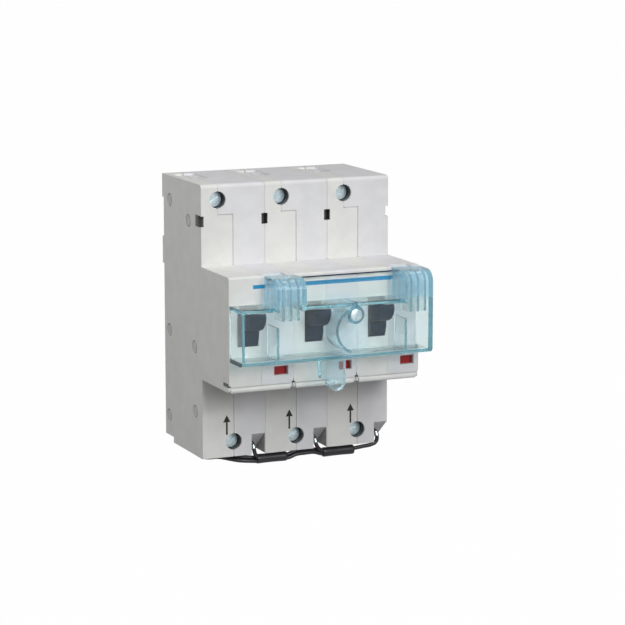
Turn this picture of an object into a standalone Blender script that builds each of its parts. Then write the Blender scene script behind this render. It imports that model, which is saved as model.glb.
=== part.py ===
"""Selective main circuit breaker, three poles, fixed on three bars 40 mm apart.

Metres, +Z up, the front faces -Y. Every piece hangs on one empty, block_foot, and is placed in its frame:
X from the block's middle, Y from the plane of the bars' front faces, Z from the casing's foot.
The world's origin is the centre of the middle pole's bar contact.
"""
import math

import bmesh
import bpy
from mathutils import Matrix, Vector

MM = 0.001

# Casing, measured from the bar plane and from the foot
POLES = 3
POLE_PITCH = 27 * MM
CASE_HEIGHT = 109.5 * MM
CASE_DEPTH = 41.5 * MM
NOSE_DEPTH = 70 * MM
NOSE_HEIGHT = 45 * MM
NOSE_BOTTOM = 32.2 * MM
WALL = 1.8 * MM
GAP = 0.3 * MM
CASE_ROUND = 1.4 * MM
NOSE_ROUND = 0.9 * MM
LIP_HEIGHT = 2.2 * MM
LIP_STEP = 0.6 * MM
LIP_ROUND = 1.2 * MM
EDGE_NOTCH = (1.3 * MM, 3.5 * MM, 4.2 * MM)
EDGE_NOTCH_DROP = 12.4 * MM
LIP_NOTCH = (0.8 * MM, 0.9 * MM, 1.2 * MM)

# Bars and the rear of the casing
BAR_PITCH = 40 * MM
BAR_HEIGHT = 12 * MM
LOW_BAR = 12 * MM
RIB_DEPTH = 1.6 * MM
UPPER_RIB_HEIGHT = 9.5 * MM
RIB_SPACE = 16 * MM
LOWER_RIB_HEIGHT = 11 * MM
FOOT_NOTCH_DEPTH = 9 * MM
FOOT_NOTCH_HEIGHT = 2.3 * MM

# Seam between the two half shells of a pole
SEAM_STEP_DROP = 12.1 * MM
UPPER_SEAM_X = -6.3 * MM

# Terminals
SCREW_DROP = 6.2 * MM
LOWER_SCREW_HEIGHT = 6.1 * MM
SCREW_HEAD_RADIUS = 3.1 * MM
SCREW_SHANK_RADIUS = 2.2 * MM
SCREW_SINK = 4 * MM
SCREW_HEAD_LENGTH = 2.4 * MM
SCREW_EDGE = 0.5 * MM
SCREW_CROSS = (1.7 * MM, 0.55 * MM, 1.2 * MM)
WELL_WALL = 1 * MM
WELL_LENGTH = 5.5 * MM
CLAMP_WIDTH = 9.2 * MM
CLAMP_HEIGHT = 8.2 * MM
CLAMP_SIDE = 1.3 * MM
CLAMP_BACK = 2 * MM
CLAMP_EDGE = 0.4 * MM
CLAMP_FRONT = 4 * MM
CLAMP_INSET = 10.5 * MM
CLAMP_STRIP_WIDTH = 5.8 * MM
UPPER_CLAMP_LENGTH = 21.5 * MM
LOWER_CLAMP_LENGTH = 19.6 * MM
UPPER_STRIP_INSET = 20.4 * MM
LOWER_STRIP_INSET = 23.5 * MM
CABLE_ENTRY_DEPTH = 9 * MM
FUNNEL_WIDTH = 8.9 * MM
FUNNEL_DEPTH = 16.8 * MM
FUNNEL_REAR_Y = -3.6 * MM
FUNNEL_SINK = 0.8 * MM

# Corner pocket beside each lower screw
POCKET_WIDTH = 5.9 * MM
POCKET_HEIGHT = 8.4 * MM
POCKET_DEPTH = 10.5 * MM

# Toggle
TOGGLE_WIDTH = 7 * MM
TOGGLE_RIGHT_X = -1.6 * MM
TOGGLE_INSET = 7.5 * MM
TOGGLE_RISE = 23.3 * MM
LEVER_REACH = 17 * MM
LEVER_HEIGHT = 8.9 * MM
TOGGLE_HUB_RADIUS = 9 * MM
AXLE_RADIUS = 1.5 * MM
SOCKET_DEPTH = 0.9 * MM

# Position flag
FLAG_WINDOW_LEFT = 5.4 * MM
FLAG_WINDOW_WIDTH = 5.9 * MM
FLAG_WINDOW_BOTTOM = 37.8 * MM
FLAG_WINDOW_HEIGHT = 3.5 * MM
FLAG_MARGIN = 1.2 * MM
FLAG_THICKNESS = 1.5 * MM

# Contacts, arc chute, coil and strips
STRIP = 1.5 * MM
REAR_STRIP_Y = -9 * MM
STRIP_WIDTH = 8 * MM
PAD_WIDTH = 16 * MM
PAD_THICKNESS = 2.5 * MM
STEM_RISE = 4 * MM
JOG_HEIGHT = 17.6 * MM
CHUTE_BOTTOM = 20.5 * MM
CHUTE_INSET = 5 * MM
CHUTE_REAR_Y = -13 * MM
CHUTE_CHEEK = 1 * MM
CHUTE_PLATES = 8
CHUTE_PITCH = 2.1 * MM
CHUTE_PLATE = 0.9 * MM
THROAT_DEPTH = 7.5 * MM
THROAT_HALF = 3.5 * MM
SHELF_TIP = 3 * MM
CONTACT_Y = -22 * MM
CONTACT_RADIUS = 2.4 * MM
CONTACT_HEIGHT = 1 * MM
ARM_INSET = 22 * MM
ARM_RISE = 20.8 * MM
ARM_HUB_RADIUS = 3.4 * MM
ARM_WIDTH = 6 * MM
COIL_BOTTOM = 60.3 * MM
COIL_DROP = 25.7 * MM
COIL_FLANGE = 1.5 * MM
COIL_INSET = 10.5 * MM
COIL_CLEARANCE = 1.7 * MM
COIL_RIM = 1.2 * MM
COIL_GROOVE = 0.5 * MM
COIL_TURNS = 6
BIMETAL_LEFT = 2.5 * MM
BIMETAL_WIDTH = 6 * MM
BIMETAL_INSET = 8.2 * MM
BIMETAL = 1.2 * MM
BIMETAL_FOOT = 4 * MM

# Tie rivets through the block: distance from the bar plane, height
RIVETS = ((-6.8 * MM, CASE_HEIGHT - 9.8 * MM), (-CASE_DEPTH + 13.9 * MM, CASE_HEIGHT - 15.7 * MM),
          (-5.5 * MM, 46.3 * MM), (-33.5 * MM, 44.1 * MM), (-4.4 * MM, 10.7 * MM),
          (-CASE_DEPTH + 7.7 * MM, 18.1 * MM))
RIVET_RADIUS = 1.4 * MM
RIVET_HEAD_RADIUS = 2.3 * MM
RIVET_HEAD = 0.6 * MM
RIVET_SINK = 0.9 * MM

# Clear hood
HOOD_DEPTH = 12.7 * MM
HOOD_WALL = 1.5 * MM
HOOD_BOTTOM = 44.4 * MM
HOOD_SHELF = 66.2 * MM
HOOD_TOP = 77 * MM
HOOD_ROUND = 5 * MM
BOX_ROUND = 1.9 * MM
TOWER_START = 1.2 * MM
HINGE_INSET = 2.4 * MM
HINGE_PIN_RADIUS = 1.2 * MM
HINGE_NOTCH = (2 * MM, 10.4 * MM)
HINGE_NOTCH_SIZE = 5.2 * MM
HINGE_SOCKET = 1.2 * MM
SEAL_SCREW = (7.6 * MM, 61.4 * MM)
SEAL_HEAD_RADIUS = 2.35 * MM
SEAL_SHANK_RADIUS = 1.5 * MM
SEAL_REACH = 2 * MM
LOCK_TUBE_RADIUS = 3.6 * MM
SEAL_TAB_LEFT = -7.6 * MM
SEAL_TAB_RIGHT = 2.8 * MM
SEAL_TAB_NECK = -4.4 * MM
SEAL_TAB_BOTTOM = 32.4 * MM
SEAL_TAB_STEP = 37.2 * MM
SEAL_TAB_THICKNESS = 3.2 * MM
SEAL_WIRE_RADIUS = 0.8 * MM
SEAL_HEAD = 1.6 * MM
SEAL_HEAD_SINK = 2 * MM
SEAL_SLOT = 0.8 * MM
SEAL_SLOT_TURN = math.radians(64)
SEAL_WIRE = (-1 * MM, 35.9 * MM)
TOWER_RIBS = 3
RIB = 1 * MM
GUIDE_TOP = 58.5 * MM
LOCK_WALL = (8.6 * MM, 55.4 * MM, 9.4 * MM)
LOCK_WALL_START = 105
LOCK_WALL_END = 250
SWING_RELIEF_RADIUS = 3.35 * MM

# Link leads along the lower front edge
LEAD_RADIUS = 0.75 * MM
SLEEVE_RADIUS = 1.9 * MM
SLEEVE_INSET = 1.4 * MM
SLEEVE_Z = -2.3 * MM
RIGHT_SLEEVE = (12.2 * MM, 25.7 * MM)
LEFT_SLEEVE = (-16.8 * MM, -3.9 * MM)
POLE_PLACE = (-0.73 * MM, 0.78 * MM)
FRONT_PLACE = (-0.31 * MM, -1 * MM)
REAR_PLACE = (1.04 * MM, 0.24 * MM)
LINK_LIFT = 0.95 * MM
LINK_BEND = (1 * MM, 4 * MM)
SHORT_STEP = 2 * MM
LONG_STEP = 5 * MM
LEAD_HOLE = (-CASE_DEPTH + 2.3 * MM, 5 * MM)
TAIL_HOLES = ((-9.6 * MM, -CASE_DEPTH + 7.9 * MM), (-6.6 * MM, -CASE_DEPTH + 7.9 * MM))

# Values that follow from those above
NOSE_TOP = NOSE_BOTTOM + NOSE_HEIGHT
MIDDLE_BAR = LOW_BAR + BAR_PITCH
HALF_POLE = POLE_PITCH / 2
INNER_HALF = HALF_POLE - GAP / 2 - WALL
UPPER_RIB_BOTTOM = CASE_HEIGHT - UPPER_RIB_HEIGHT
LOWER_RIB_TOP = UPPER_RIB_BOTTOM - RIB_SPACE
LOWER_RIB_BOTTOM = LOWER_RIB_TOP - LOWER_RIB_HEIGHT
CLAMP_FRONT_Y = -CASE_DEPTH + CLAMP_INSET
UPPER_CLAMP_REAR_Y = CLAMP_FRONT_Y + UPPER_CLAMP_LENGTH
LOWER_CLAMP_REAR_Y = CLAMP_FRONT_Y + LOWER_CLAMP_LENGTH
UPPER_STRIP_Y = -CASE_DEPTH + UPPER_STRIP_INSET
LOWER_STRIP_Y = -CASE_DEPTH + LOWER_STRIP_INSET
CHUTE_FRONT_Y = -CASE_DEPTH + CHUTE_INSET
COIL_HEIGHT = CASE_HEIGHT - COIL_DROP - COIL_BOTTOM
COIL_FRONT_Y = -CASE_DEPTH + COIL_INSET
COIL_REAR_Y = REAR_STRIP_Y - STRIP - COIL_CLEARANCE
COIL_RADIUS = min(INNER_HALF - GAP, (COIL_REAR_Y - COIL_FRONT_Y) / 2) - COIL_RIM
BIMETAL_Y = -CASE_DEPTH + BIMETAL_INSET
BIMETAL_LENGTH = COIL_HEIGHT - COIL_FLANGE
POCKET_LEFT = HALF_POLE - POCKET_WIDTH
SLEEVE_Y = -CASE_DEPTH + SLEEVE_INSET
HINGED_POLES = (0, POLES - 1)
SEALED_POLE = POLES // 2
TOGGLE_AXIS = (-NOSE_DEPTH + TOGGLE_INSET, NOSE_BOTTOM + TOGGLE_RISE)
ARM_AXIS = (-NOSE_DEPTH + ARM_INSET, NOSE_BOTTOM + ARM_RISE)
SEAM_STEP = CASE_HEIGHT - SEAM_STEP_DROP
UPPER_SCREW_HEIGHT = CASE_HEIGHT - SCREW_DROP
CHUTE_TOP = CHUTE_BOTTOM + CHUTE_PLATES * CHUTE_PITCH + STRIP
FIXED_CONTACT_BOTTOM = CHUTE_TOP + GAP
HOOD_REAR_Y = -NOSE_DEPTH - GAP
HOOD_FRONT_Y = HOOD_REAR_Y - HOOD_DEPTH
POLE_CENTRES = [(index - (POLES - 1) / 2) * POLE_PITCH for index in range(POLES)]
HOOD_WIDTH = POLES * POLE_PITCH - 2 * GAP
TOWERS = ((POLE_CENTRES[0] + TOWER_START, POLE_CENTRES[0] + HALF_POLE),
          (POLE_CENTRES[-1] + TOWER_START, HOOD_WIDTH / 2))
HINGE_AXIS = (-NOSE_DEPTH + HINGE_INSET, NOSE_TOP - HINGE_INSET)

# Turns a shape drawn in local X and Y, extruded along local Z, into one that lies across the block or faces it
ACROSS = Matrix(((0, 0, 1, 0), (1, 0, 0, 0), (0, 1, 0, 0), (0, 0, 0, 1)))
FACING = Matrix(((1, 0, 0, 0), (0, 0, -1, 0), (0, 1, 0, 0), (0, 0, 0, 1)))
LEVEL = Matrix.Identity(4)

for old in list(bpy.data.objects):
    bpy.data.objects.remove(old, do_unlink=True)

PARTS = bpy.data.collections.new("selective_main_breaker")
CUTTERS = bpy.data.collections.new("cutters")
bpy.context.scene.collection.children.link(PARTS)
bpy.context.scene.collection.children.link(CUTTERS)

BLOCK = bpy.data.objects.new("block_foot", None)
BLOCK.location = (0, 0, -MIDDLE_BAR)
PARTS.objects.link(BLOCK)


def material(name, colour, roughness, metallic=0.0, alpha=1.0):
    """A Principled material of one colour."""
    made = bpy.data.materials.new(name)
    made.use_nodes = True
    shader = made.node_tree.nodes["Principled BSDF"]
    shader.inputs["Base Color"].default_value = (*colour, 1.0)
    shader.inputs["Roughness"].default_value = roughness
    shader.inputs["Metallic"].default_value = metallic
    shader.inputs["Alpha"].default_value = alpha
    return made


def add(name, mesh, place=(0, 0, 0), turn=LEVEL, look=None):
    """Link a mesh as a part, or as a cutter where it has no material."""
    made = bpy.data.objects.new(name, mesh)
    made.matrix_local = Matrix.Translation(place) @ turn
    made.parent = BLOCK
    if look:
        mesh.materials.clear()
        mesh.materials.append(look)
        PARTS.objects.link(made)
    else:
        made.hide_render = True
        made.display_type = "WIRE"
        CUTTERS.objects.link(made)
    return made


def box_mesh(low, high):
    shape = bmesh.new()
    bmesh.ops.create_cube(shape, size=1.0)
    size = [top - bottom for bottom, top in zip(low, high)]
    centre = [(top + bottom) / 2 for bottom, top in zip(low, high)]
    bmesh.ops.scale(shape, vec=size, verts=shape.verts)
    bmesh.ops.translate(shape, vec=centre, verts=shape.verts)
    return finished(shape, "box")


def rod_mesh(radius, low, high, sides=16):
    """A cylinder along local Z from low to high."""
    shape = bmesh.new()
    bmesh.ops.create_cone(shape, cap_ends=True, segments=sides, radius1=radius, radius2=radius, depth=high - low)
    bmesh.ops.translate(shape, vec=(0, 0, (low + high) / 2), verts=shape.verts)
    return finished(shape, "rod")


def finished(shape, name):
    mesh = bpy.data.meshes.new(name)
    shape.to_mesh(mesh)
    shape.free()
    mesh.shade_smooth()
    mesh.set_sharp_from_angle(angle=math.radians(35))
    return mesh


def outline_mesh(points, low, high):
    """A flat outline filled and extruded along local Z from low to high."""
    curve = bpy.data.curves.new("outline", "CURVE")
    curve.dimensions = "2D"
    curve.fill_mode = "BOTH"
    curve.extrude = (high - low) / 2
    spline = curve.splines.new("POLY")
    spline.points.add(len(points) - 1)
    for point, (across, up) in zip(spline.points, points):
        point.co = (across, up, 0, 1)
    spline.use_cyclic_u = True
    return mesh_of(curve, (low + high) / 2)


def mesh_of(curve, lift=0.0):
    """A closed mesh from a curve, its caps welded on."""
    holder = bpy.data.objects.new("holder", curve)
    bpy.context.scene.collection.objects.link(holder)
    bpy.context.view_layer.update()
    seen = holder.evaluated_get(bpy.context.evaluated_depsgraph_get())
    mesh = bpy.data.meshes.new_from_object(seen)
    bpy.data.objects.remove(holder)
    bpy.data.curves.remove(curve)
    shape = bmesh.new()
    shape.from_mesh(mesh)
    bpy.data.meshes.remove(mesh)
    bmesh.ops.remove_doubles(shape, verts=shape.verts, dist=0.00001)
    bmesh.ops.recalc_face_normals(shape, faces=shape.faces)
    bmesh.ops.translate(shape, vec=(0, 0, lift), verts=shape.verts)
    return finished(shape, "outline")


def turned_mesh(profile, sides=24):
    """A profile of radius and height, both ends on the axis, turned about local Z."""
    shape = bmesh.new()
    corners = [shape.verts.new((radius, 0, height)) for radius, height in profile]
    edges = [shape.edges.new(pair) for pair in zip(corners, corners[1:])]
    bmesh.ops.spin(shape, geom=corners + edges, cent=(0, 0, 0), axis=(0, 0, 1), angle=math.tau, steps=sides,
                   use_merge=True)
    bmesh.ops.remove_doubles(shape, verts=shape.verts, dist=0.00001)
    bmesh.ops.recalc_face_normals(shape, faces=shape.faces)
    return finished(shape, "turned")


def arc(centre, radius, start, end, steps=4):
    """Points on an arc, angles in degrees from the outline's first axis."""
    angles = [math.radians(start + (end - start) * step / steps) for step in range(steps + 1)]
    return [(centre[0] + radius * math.cos(angle), centre[1] + radius * math.sin(angle)) for angle in angles]


def shaped(target, tool, operation):
    change = target.modifiers.new(operation.lower(), "BOOLEAN")
    change.operation = operation
    change.object = tool
    change.solver = "EXACT"
    return target


def cut(target, *tools):
    for tool in tools:
        shaped(target, tool, "DIFFERENCE")
    return target


def joined(target, *tools):
    for tool in tools:
        shaped(target, tool, "UNION")
    return target


def softened(target, width, segments=1):
    bevel = target.modifiers.new("edge", "BEVEL")
    bevel.width = width
    bevel.segments = segments
    bevel.limit_method = "ANGLE"
    bevel.angle_limit = math.radians(50)
    return target


def block_cutter(name, low, high):
    return add(name, box_mesh(low, high))


def rod_cutter(name, radius, place, low, high, turn, sides=16):
    return add(name, rod_mesh(radius, low, high, sides), place, turn)


CASE_PLASTIC = material("casing_plastic", (0.70, 0.69, 0.67), 0.45)
TOGGLE_PLASTIC = material("toggle_plastic", (0.05, 0.085, 0.12), 0.4)
FLAG_RED = material("flag_red", (0.30, 0.01, 0.015), 0.35)
HOOD_CLEAR = material("hood_clear", (0.45, 0.70, 0.80), 0.1, alpha=0.4)
ZINC = material("zinc_steel", (0.60, 0.64, 0.66), 0.3, 1.0)
COPPER = material("copper", (0.72, 0.38, 0.24), 0.35, 1.0)
SILVER = material("silver_alloy", (0.78, 0.77, 0.73), 0.3, 1.0)
CHUTE_STEEL = material("chute_steel", (0.42, 0.42, 0.43), 0.5, 1.0)
LEAD_BLACK = material("lead_black", (0.02, 0.018, 0.022), 0.5)


def casing_outline():
    """Side view of a pole: distance from the bars, height."""
    front, nose, lip = -CASE_DEPTH, -NOSE_DEPTH, -NOSE_DEPTH + LIP_STEP
    points = [(-FOOT_NOTCH_DEPTH, 0), (front, 0), (front, NOSE_BOTTOM)]
    points += arc((lip + LIP_ROUND, NOSE_BOTTOM + LIP_ROUND), LIP_ROUND, 270, 180)
    points += [(lip, NOSE_BOTTOM + LIP_HEIGHT), (nose, NOSE_BOTTOM + LIP_HEIGHT)]
    points += arc((nose + NOSE_ROUND, NOSE_TOP - NOSE_ROUND), NOSE_ROUND, 180, 90)
    points += [(front, NOSE_TOP)]
    points += arc((front + CASE_ROUND, CASE_HEIGHT - CASE_ROUND), CASE_ROUND, 180, 90)
    points += [(RIB_DEPTH, CASE_HEIGHT), (RIB_DEPTH, UPPER_RIB_BOTTOM), (0, UPPER_RIB_BOTTOM)]
    points += [(0, LOWER_RIB_TOP), (RIB_DEPTH, LOWER_RIB_TOP), (RIB_DEPTH, LOWER_RIB_BOTTOM)]
    points += [(0, LOWER_RIB_BOTTOM), (0, FOOT_NOTCH_HEIGHT), (-FOOT_NOTCH_DEPTH, FOOT_NOTCH_HEIGHT)]
    return points


def cavity_outline():
    """The hollow inside the walls, in the same view."""
    front, nose, rear = -CASE_DEPTH + WALL, -NOSE_DEPTH + WALL, -WALL
    step_y, step_z = -FOOT_NOTCH_DEPTH - WALL, FOOT_NOTCH_HEIGHT + WALL
    return [(step_y, WALL), (front, WALL), (front, NOSE_BOTTOM + WALL), (nose, NOSE_BOTTOM + WALL),
            (nose, NOSE_TOP - WALL), (front, NOSE_TOP - WALL), (front, CASE_HEIGHT - WALL),
            (rear, CASE_HEIGHT - WALL), (rear, step_z), (step_y, step_z)]


def seam_outline(side):
    """Front view of everything on one side of the stepped seam, side -1 left and 1 right."""
    past = POLE_PITCH
    lower, upper = side * GAP / 2, UPPER_SEAM_X + side * GAP / 2
    step = SEAM_STEP + side * GAP / 2
    return [(side * past, -past), (lower, -past), (lower, step), (upper, step),
            (upper, CASE_HEIGHT + past), (side * past, CASE_HEIGHT + past)]


def pocket_outline(extra):
    """Side view of the corner pocket, grown by extra past its sloping ceiling."""
    slope = POCKET_HEIGHT / POCKET_DEPTH
    lift = extra * math.hypot(1, slope)
    past = WALL
    return [(-CASE_DEPTH - past, -past), (-CASE_DEPTH - past, POCKET_HEIGHT + lift + past * slope),
            (-CASE_DEPTH + POCKET_DEPTH + (lift + past) / slope, -past)]


def well(name, centre, across, height):
    """The screw well and the collar that lines it inside the casing."""
    radius = SCREW_HEAD_RADIUS + GAP
    place = (centre + across, 0, height)
    hole = rod_cutter(f"{name}_hole", radius, place, CASE_DEPTH - WELL_LENGTH - WALL, CASE_DEPTH + WALL,
                      FACING)
    collar = rod_cutter(f"{name}_collar", radius + WELL_WALL, place, CASE_DEPTH - WELL_LENGTH,
                        CASE_DEPTH + WALL, FACING)
    return hole, collar


def casing_cutters(index, centre):
    """Everything taken out of both half shells of one pole."""
    number = index + 1
    upper_hole, upper_collar = well(f"upper_well_{number}", centre, UPPER_SEAM_X, UPPER_SCREW_HEIGHT)
    lower_hole, lower_collar = well(f"lower_well_{number}", centre, 0, LOWER_SCREW_HEIGHT)
    cavity = add(f"cavity_{number}", outline_mesh(cavity_outline(), -INNER_HALF, INNER_HALF), (centre, 0, 0),
                 ACROSS)
    pocket_lining = add(f"pocket_lining_{number}",
                        outline_mesh(pocket_outline(WALL), POCKET_LEFT - WALL, HALF_POLE + WALL),
                        (centre, 0, 0), ACROSS)
    cut(cavity, upper_collar, lower_collar, pocket_lining)
    tools = [cavity, upper_hole, lower_hole]
    tools.append(add(f"pocket_{number}", outline_mesh(pocket_outline(0), POCKET_LEFT, HALF_POLE + WALL),
                     (centre, 0, 0), ACROSS))
    tools.append(rod_cutter(f"lead_hole_{number}", LEAD_RADIUS + GAP, (centre, *LEAD_HOLE),
                            POCKET_LEFT - 2 * WALL, POCKET_LEFT + WALL / 2, ACROSS, 12))
    tools += entry_cutters(number, centre)
    tools += face_cutters(number, centre)
    tools += rear_cutters(index, centre)
    if index in HINGED_POLES:
        tools += hinge_cutters(number, centre, cavity)
    if index == SEALED_POLE:
        tools.append(rod_cutter("seal_hole", SEAL_SHANK_RADIUS + 2 * GAP, (SEAL_SCREW[0], 0, SEAL_SCREW[1]),
                                NOSE_DEPTH - 2 * WALL, NOSE_DEPTH + WALL, FACING, 16))
    if index == 0:
        for order, (across, depth) in enumerate(TAIL_HOLES):
            tools.append(rod_cutter(f"tail_hole_{order + 1}", LEAD_RADIUS + 2 * GAP, (centre + across, depth, 0),
                                    -WALL, 2 * WALL, LEVEL, 12))
    return tools


def entry_cutters(number, centre):
    """Cable entry in the top face: a straight hole in a shallow sunk field."""
    half = (CLAMP_WIDTH - 2 * CLAMP_SIDE) / 2
    middle = centre + UPPER_SEAM_X
    back = UPPER_CLAMP_REAR_Y - CLAMP_BACK
    hole = block_cutter(f"cable_entry_{number}", (middle - half, back - CABLE_ENTRY_DEPTH, CASE_HEIGHT - 2 * WALL),
                        (middle + half, back, CASE_HEIGHT + WALL))
    field = block_cutter(f"entry_field_{number}",
                         (middle - FUNNEL_WIDTH / 2, FUNNEL_REAR_Y - FUNNEL_DEPTH, CASE_HEIGHT - FUNNEL_SINK),
                         (middle + FUNNEL_WIDTH / 2, FUNNEL_REAR_Y, CASE_HEIGHT + WALL))
    return [field, hole]


def face_cutters(number, centre):
    """Toggle slot, flag window and the small notches at a pole's edges."""
    left, right = TOGGLE_RIGHT_X - TOGGLE_WIDTH - GAP, TOGGLE_RIGHT_X + GAP
    lever_top = TOGGLE_AXIS[1] + TOGGLE_HUB_RADIUS + GAP
    tools = [rod_cutter(f"hub_slot_{number}", TOGGLE_HUB_RADIUS + GAP, (centre, *TOGGLE_AXIS), left, right,
                        ACROSS, 28)]
    tools.append(block_cutter(f"lever_slot_{number}", (centre + left, -NOSE_DEPTH - WALL, TOGGLE_AXIS[1]),
                              (centre + right, -NOSE_DEPTH + 2 * WALL, lever_top)))
    window = centre + FLAG_WINDOW_LEFT
    tools.append(block_cutter(f"flag_window_{number}", (window, -NOSE_DEPTH - WALL, FLAG_WINDOW_BOTTOM),
                              (window + FLAG_WINDOW_WIDTH, -NOSE_DEPTH + 2 * WALL,
                               FLAG_WINDOW_BOTTOM + FLAG_WINDOW_HEIGHT)))
    for side, word in ((-1, "left"), (1, "right")):
        outer = centre + side * (HALF_POLE + WALL)
        for name, (wide, deep, tall), front, top in (
                ("edge_notch", EDGE_NOTCH, -CASE_DEPTH, CASE_HEIGHT - EDGE_NOTCH_DROP),
                ("lip_notch", LIP_NOTCH, -NOSE_DEPTH, NOSE_BOTTOM + LIP_HEIGHT + LIP_NOTCH[2] / 2)):
            inner = centre + side * (HALF_POLE - wide)
            low, high = min(inner, outer), max(inner, outer)
            tools.append(block_cutter(f"{name}_{word}_{number}", (low, front - WALL, top - tall),
                                      (high, front + deep, top)))
        tools.append(rod_cutter(f"toggle_socket_{word}_{number}", AXLE_RADIUS + GAP, (centre, *TOGGLE_AXIS),
                                *socket_span(side), ACROSS, 10))
        tools.append(rod_cutter(f"arm_socket_{word}_{number}", AXLE_RADIUS + GAP, (centre, *ARM_AXIS),
                                *socket_span(side), ACROSS, 10))
    return tools


def socket_span(side):
    """From inside the pole to the blind end of a bearing socket in its side wall."""
    ends = (side * (INNER_HALF - WALL), side * (INNER_HALF + SOCKET_DEPTH))
    return min(ends), max(ends)


def bar_height(index):
    """The left pole takes the top bar, the right pole the bottom one."""
    return LOW_BAR + (POLES - 1 - index) * BAR_PITCH


def rear_cutters(index, centre):
    number = index + 1
    half_width, half_height = PAD_WIDTH / 2 + GAP, BAR_HEIGHT / 2 + GAP
    height = bar_height(index)
    tools = [block_cutter(f"pad_window_{number}", (centre - half_width, -2 * WALL, height - half_height),
                          (centre + half_width, WALL, height + half_height))]
    for order, place in enumerate(RIVETS):
        name = f"rivet_hole_{number}_{order + 1}"
        tools.append(rod_cutter(name, RIVET_RADIUS + GAP, (centre, *place), -HALF_POLE - WALL, HALF_POLE + WALL,
                                ACROSS, 10))
        for side, word in ((-1, "left"), (1, "right")):
            ends = (side * (HALF_POLE - GAP / 2 - RIVET_SINK), side * (HALF_POLE + WALL))
            tools.append(rod_cutter(f"{name}_{word}", RIVET_HEAD_RADIUS + GAP, (centre, *place),
                                    min(ends), max(ends), ACROSS, 12))
    return tools


def hinge_cutters(number, centre, cavity):
    """Notch in the nose's top edge with bearing sockets for the hood's hinge pin."""
    left, right = centre + HINGE_NOTCH[0], centre + HINGE_NOTCH[1]
    inner_y, low = -NOSE_DEPTH + HINGE_NOTCH_SIZE, NOSE_TOP - HINGE_NOTCH_SIZE
    lining = block_cutter(f"hinge_lining_{number}", (left - WALL, -NOSE_DEPTH - WALL, low - WALL),
                          (right + WALL, inner_y + WALL, NOSE_TOP + WALL))
    cut(cavity, lining)
    notch = block_cutter(f"hinge_notch_{number}", (left, -NOSE_DEPTH - WALL, low),
                         (right, inner_y, NOSE_TOP + WALL))
    sockets = rod_cutter(f"hinge_sockets_{number}", HINGE_PIN_RADIUS + GAP, (centre, *HINGE_AXIS),
                         HINGE_NOTCH[0] - HINGE_SOCKET, HINGE_NOTCH[1] + HINGE_SOCKET, ACROSS, 16)
    return [notch, sockets]


def casing(index, centre):
    """The two half shells of one pole."""
    number = index + 1
    tools = casing_cutters(index, centre)
    for side, word in ((-1, "left"), (1, "right")):
        half = HALF_POLE - GAP / 2
        shell = add(f"shell_{word}_{number}", outline_mesh(casing_outline(), -half, half),
                    (centre, 0, 0), ACROSS, CASE_PLASTIC)
        volume = add(f"seam_side_{word}_{number}", outline_mesh(seam_outline(side), -2 * CASE_DEPTH, CASE_DEPTH * 2),
                     (centre, 0, 0), FACING)
        shaped(shell, volume, "INTERSECT")
        cut(shell, *tools)


def toggle(number, centre):
    """Hub, lever with a curled tip, and the axle moulded on; its origin is on its axis."""
    depth, height = TOGGLE_AXIS
    left, right = TOGGLE_RIGHT_X - TOGGLE_WIDTH, TOGGLE_RIGHT_X
    shares = [(0, 0.056), (0, 1), (-0.382, 0.955), (-0.588, 0.831), (-0.765, 0.843), (-0.912, 0.944),
              (-0.976, 0.91), (-1, 0.764), (-0.953, 0.506), (-0.835, 0.27), (-0.676, 0.135), (-0.524, 0.079)]
    lever = [(along * LEVER_REACH, rise * LEVER_HEIGHT) for along, rise in shares]
    made = add(f"toggle_{number}", rod_mesh(TOGGLE_HUB_RADIUS, left, right, 28), (centre, depth, height),
               ACROSS, TOGGLE_PLASTIC)
    blade = add(f"toggle_lever_{number}", outline_mesh(lever, left + GAP, right - GAP), (centre, depth, height),
                ACROSS)
    axle = INNER_HALF + SOCKET_DEPTH - GAP
    joined(made, blade, rod_cutter(f"toggle_axle_{number}", AXLE_RADIUS, (centre, depth, height), -axle, axle,
                                   ACROSS, 12))


def flag(number, centre):
    """Red shutter behind its window, a little larger than the window."""
    left, low = centre + FLAG_WINDOW_LEFT, FLAG_WINDOW_BOTTOM
    right = centre + INNER_HALF - GAP
    rear_y = -NOSE_DEPTH + WALL + GAP + FLAG_THICKNESS
    origin = Vector((centre, rear_y, low))
    mesh = box_mesh(Vector((left - GAP, rear_y - FLAG_THICKNESS, low - FLAG_MARGIN)) - origin,
                    Vector((right, rear_y, low + FLAG_WINDOW_HEIGHT + FLAG_MARGIN)) - origin)
    softened(add(f"flag_{number}", mesh, origin, LEVEL, FLAG_RED), GAP)


def arm(number, centre):
    """Moving contact arm on its axle; its tip lies on the fixed contact."""
    depth, height = ARM_AXIS
    tip_bottom = FIXED_CONTACT_BOTTOM + STRIP + CONTACT_HEIGHT + GAP - height
    tip = CONTACT_Y - depth
    hub, pad = ARM_HUB_RADIUS, CONTACT_RADIUS
    outline = [(tip + pad, tip_bottom), (tip + pad, tip_bottom + pad), (tip * 0.85, tip_bottom + 2 * pad),
               (tip * 0.54, tip_bottom * 0.2), (hub * 0.88, hub * 0.88)]
    outline += arc((0, 0), hub, 90, 270)
    outline += [(hub * 0.88, hub * -0.88), (tip * 0.58, tip_bottom * 0.61), (tip * 0.77, tip_bottom * 0.75),
                (tip - pad, tip_bottom)]
    made = add(f"moving_contact_{number}", outline_mesh(outline, -ARM_WIDTH / 2, ARM_WIDTH / 2),
               (centre, depth, height), ACROSS, SILVER)
    axle = INNER_HALF + SOCKET_DEPTH - GAP
    joined(made, rod_cutter(f"arm_axle_{number}", AXLE_RADIUS, (centre, depth, height), -axle, axle, ACROSS,
                            12))


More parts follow.
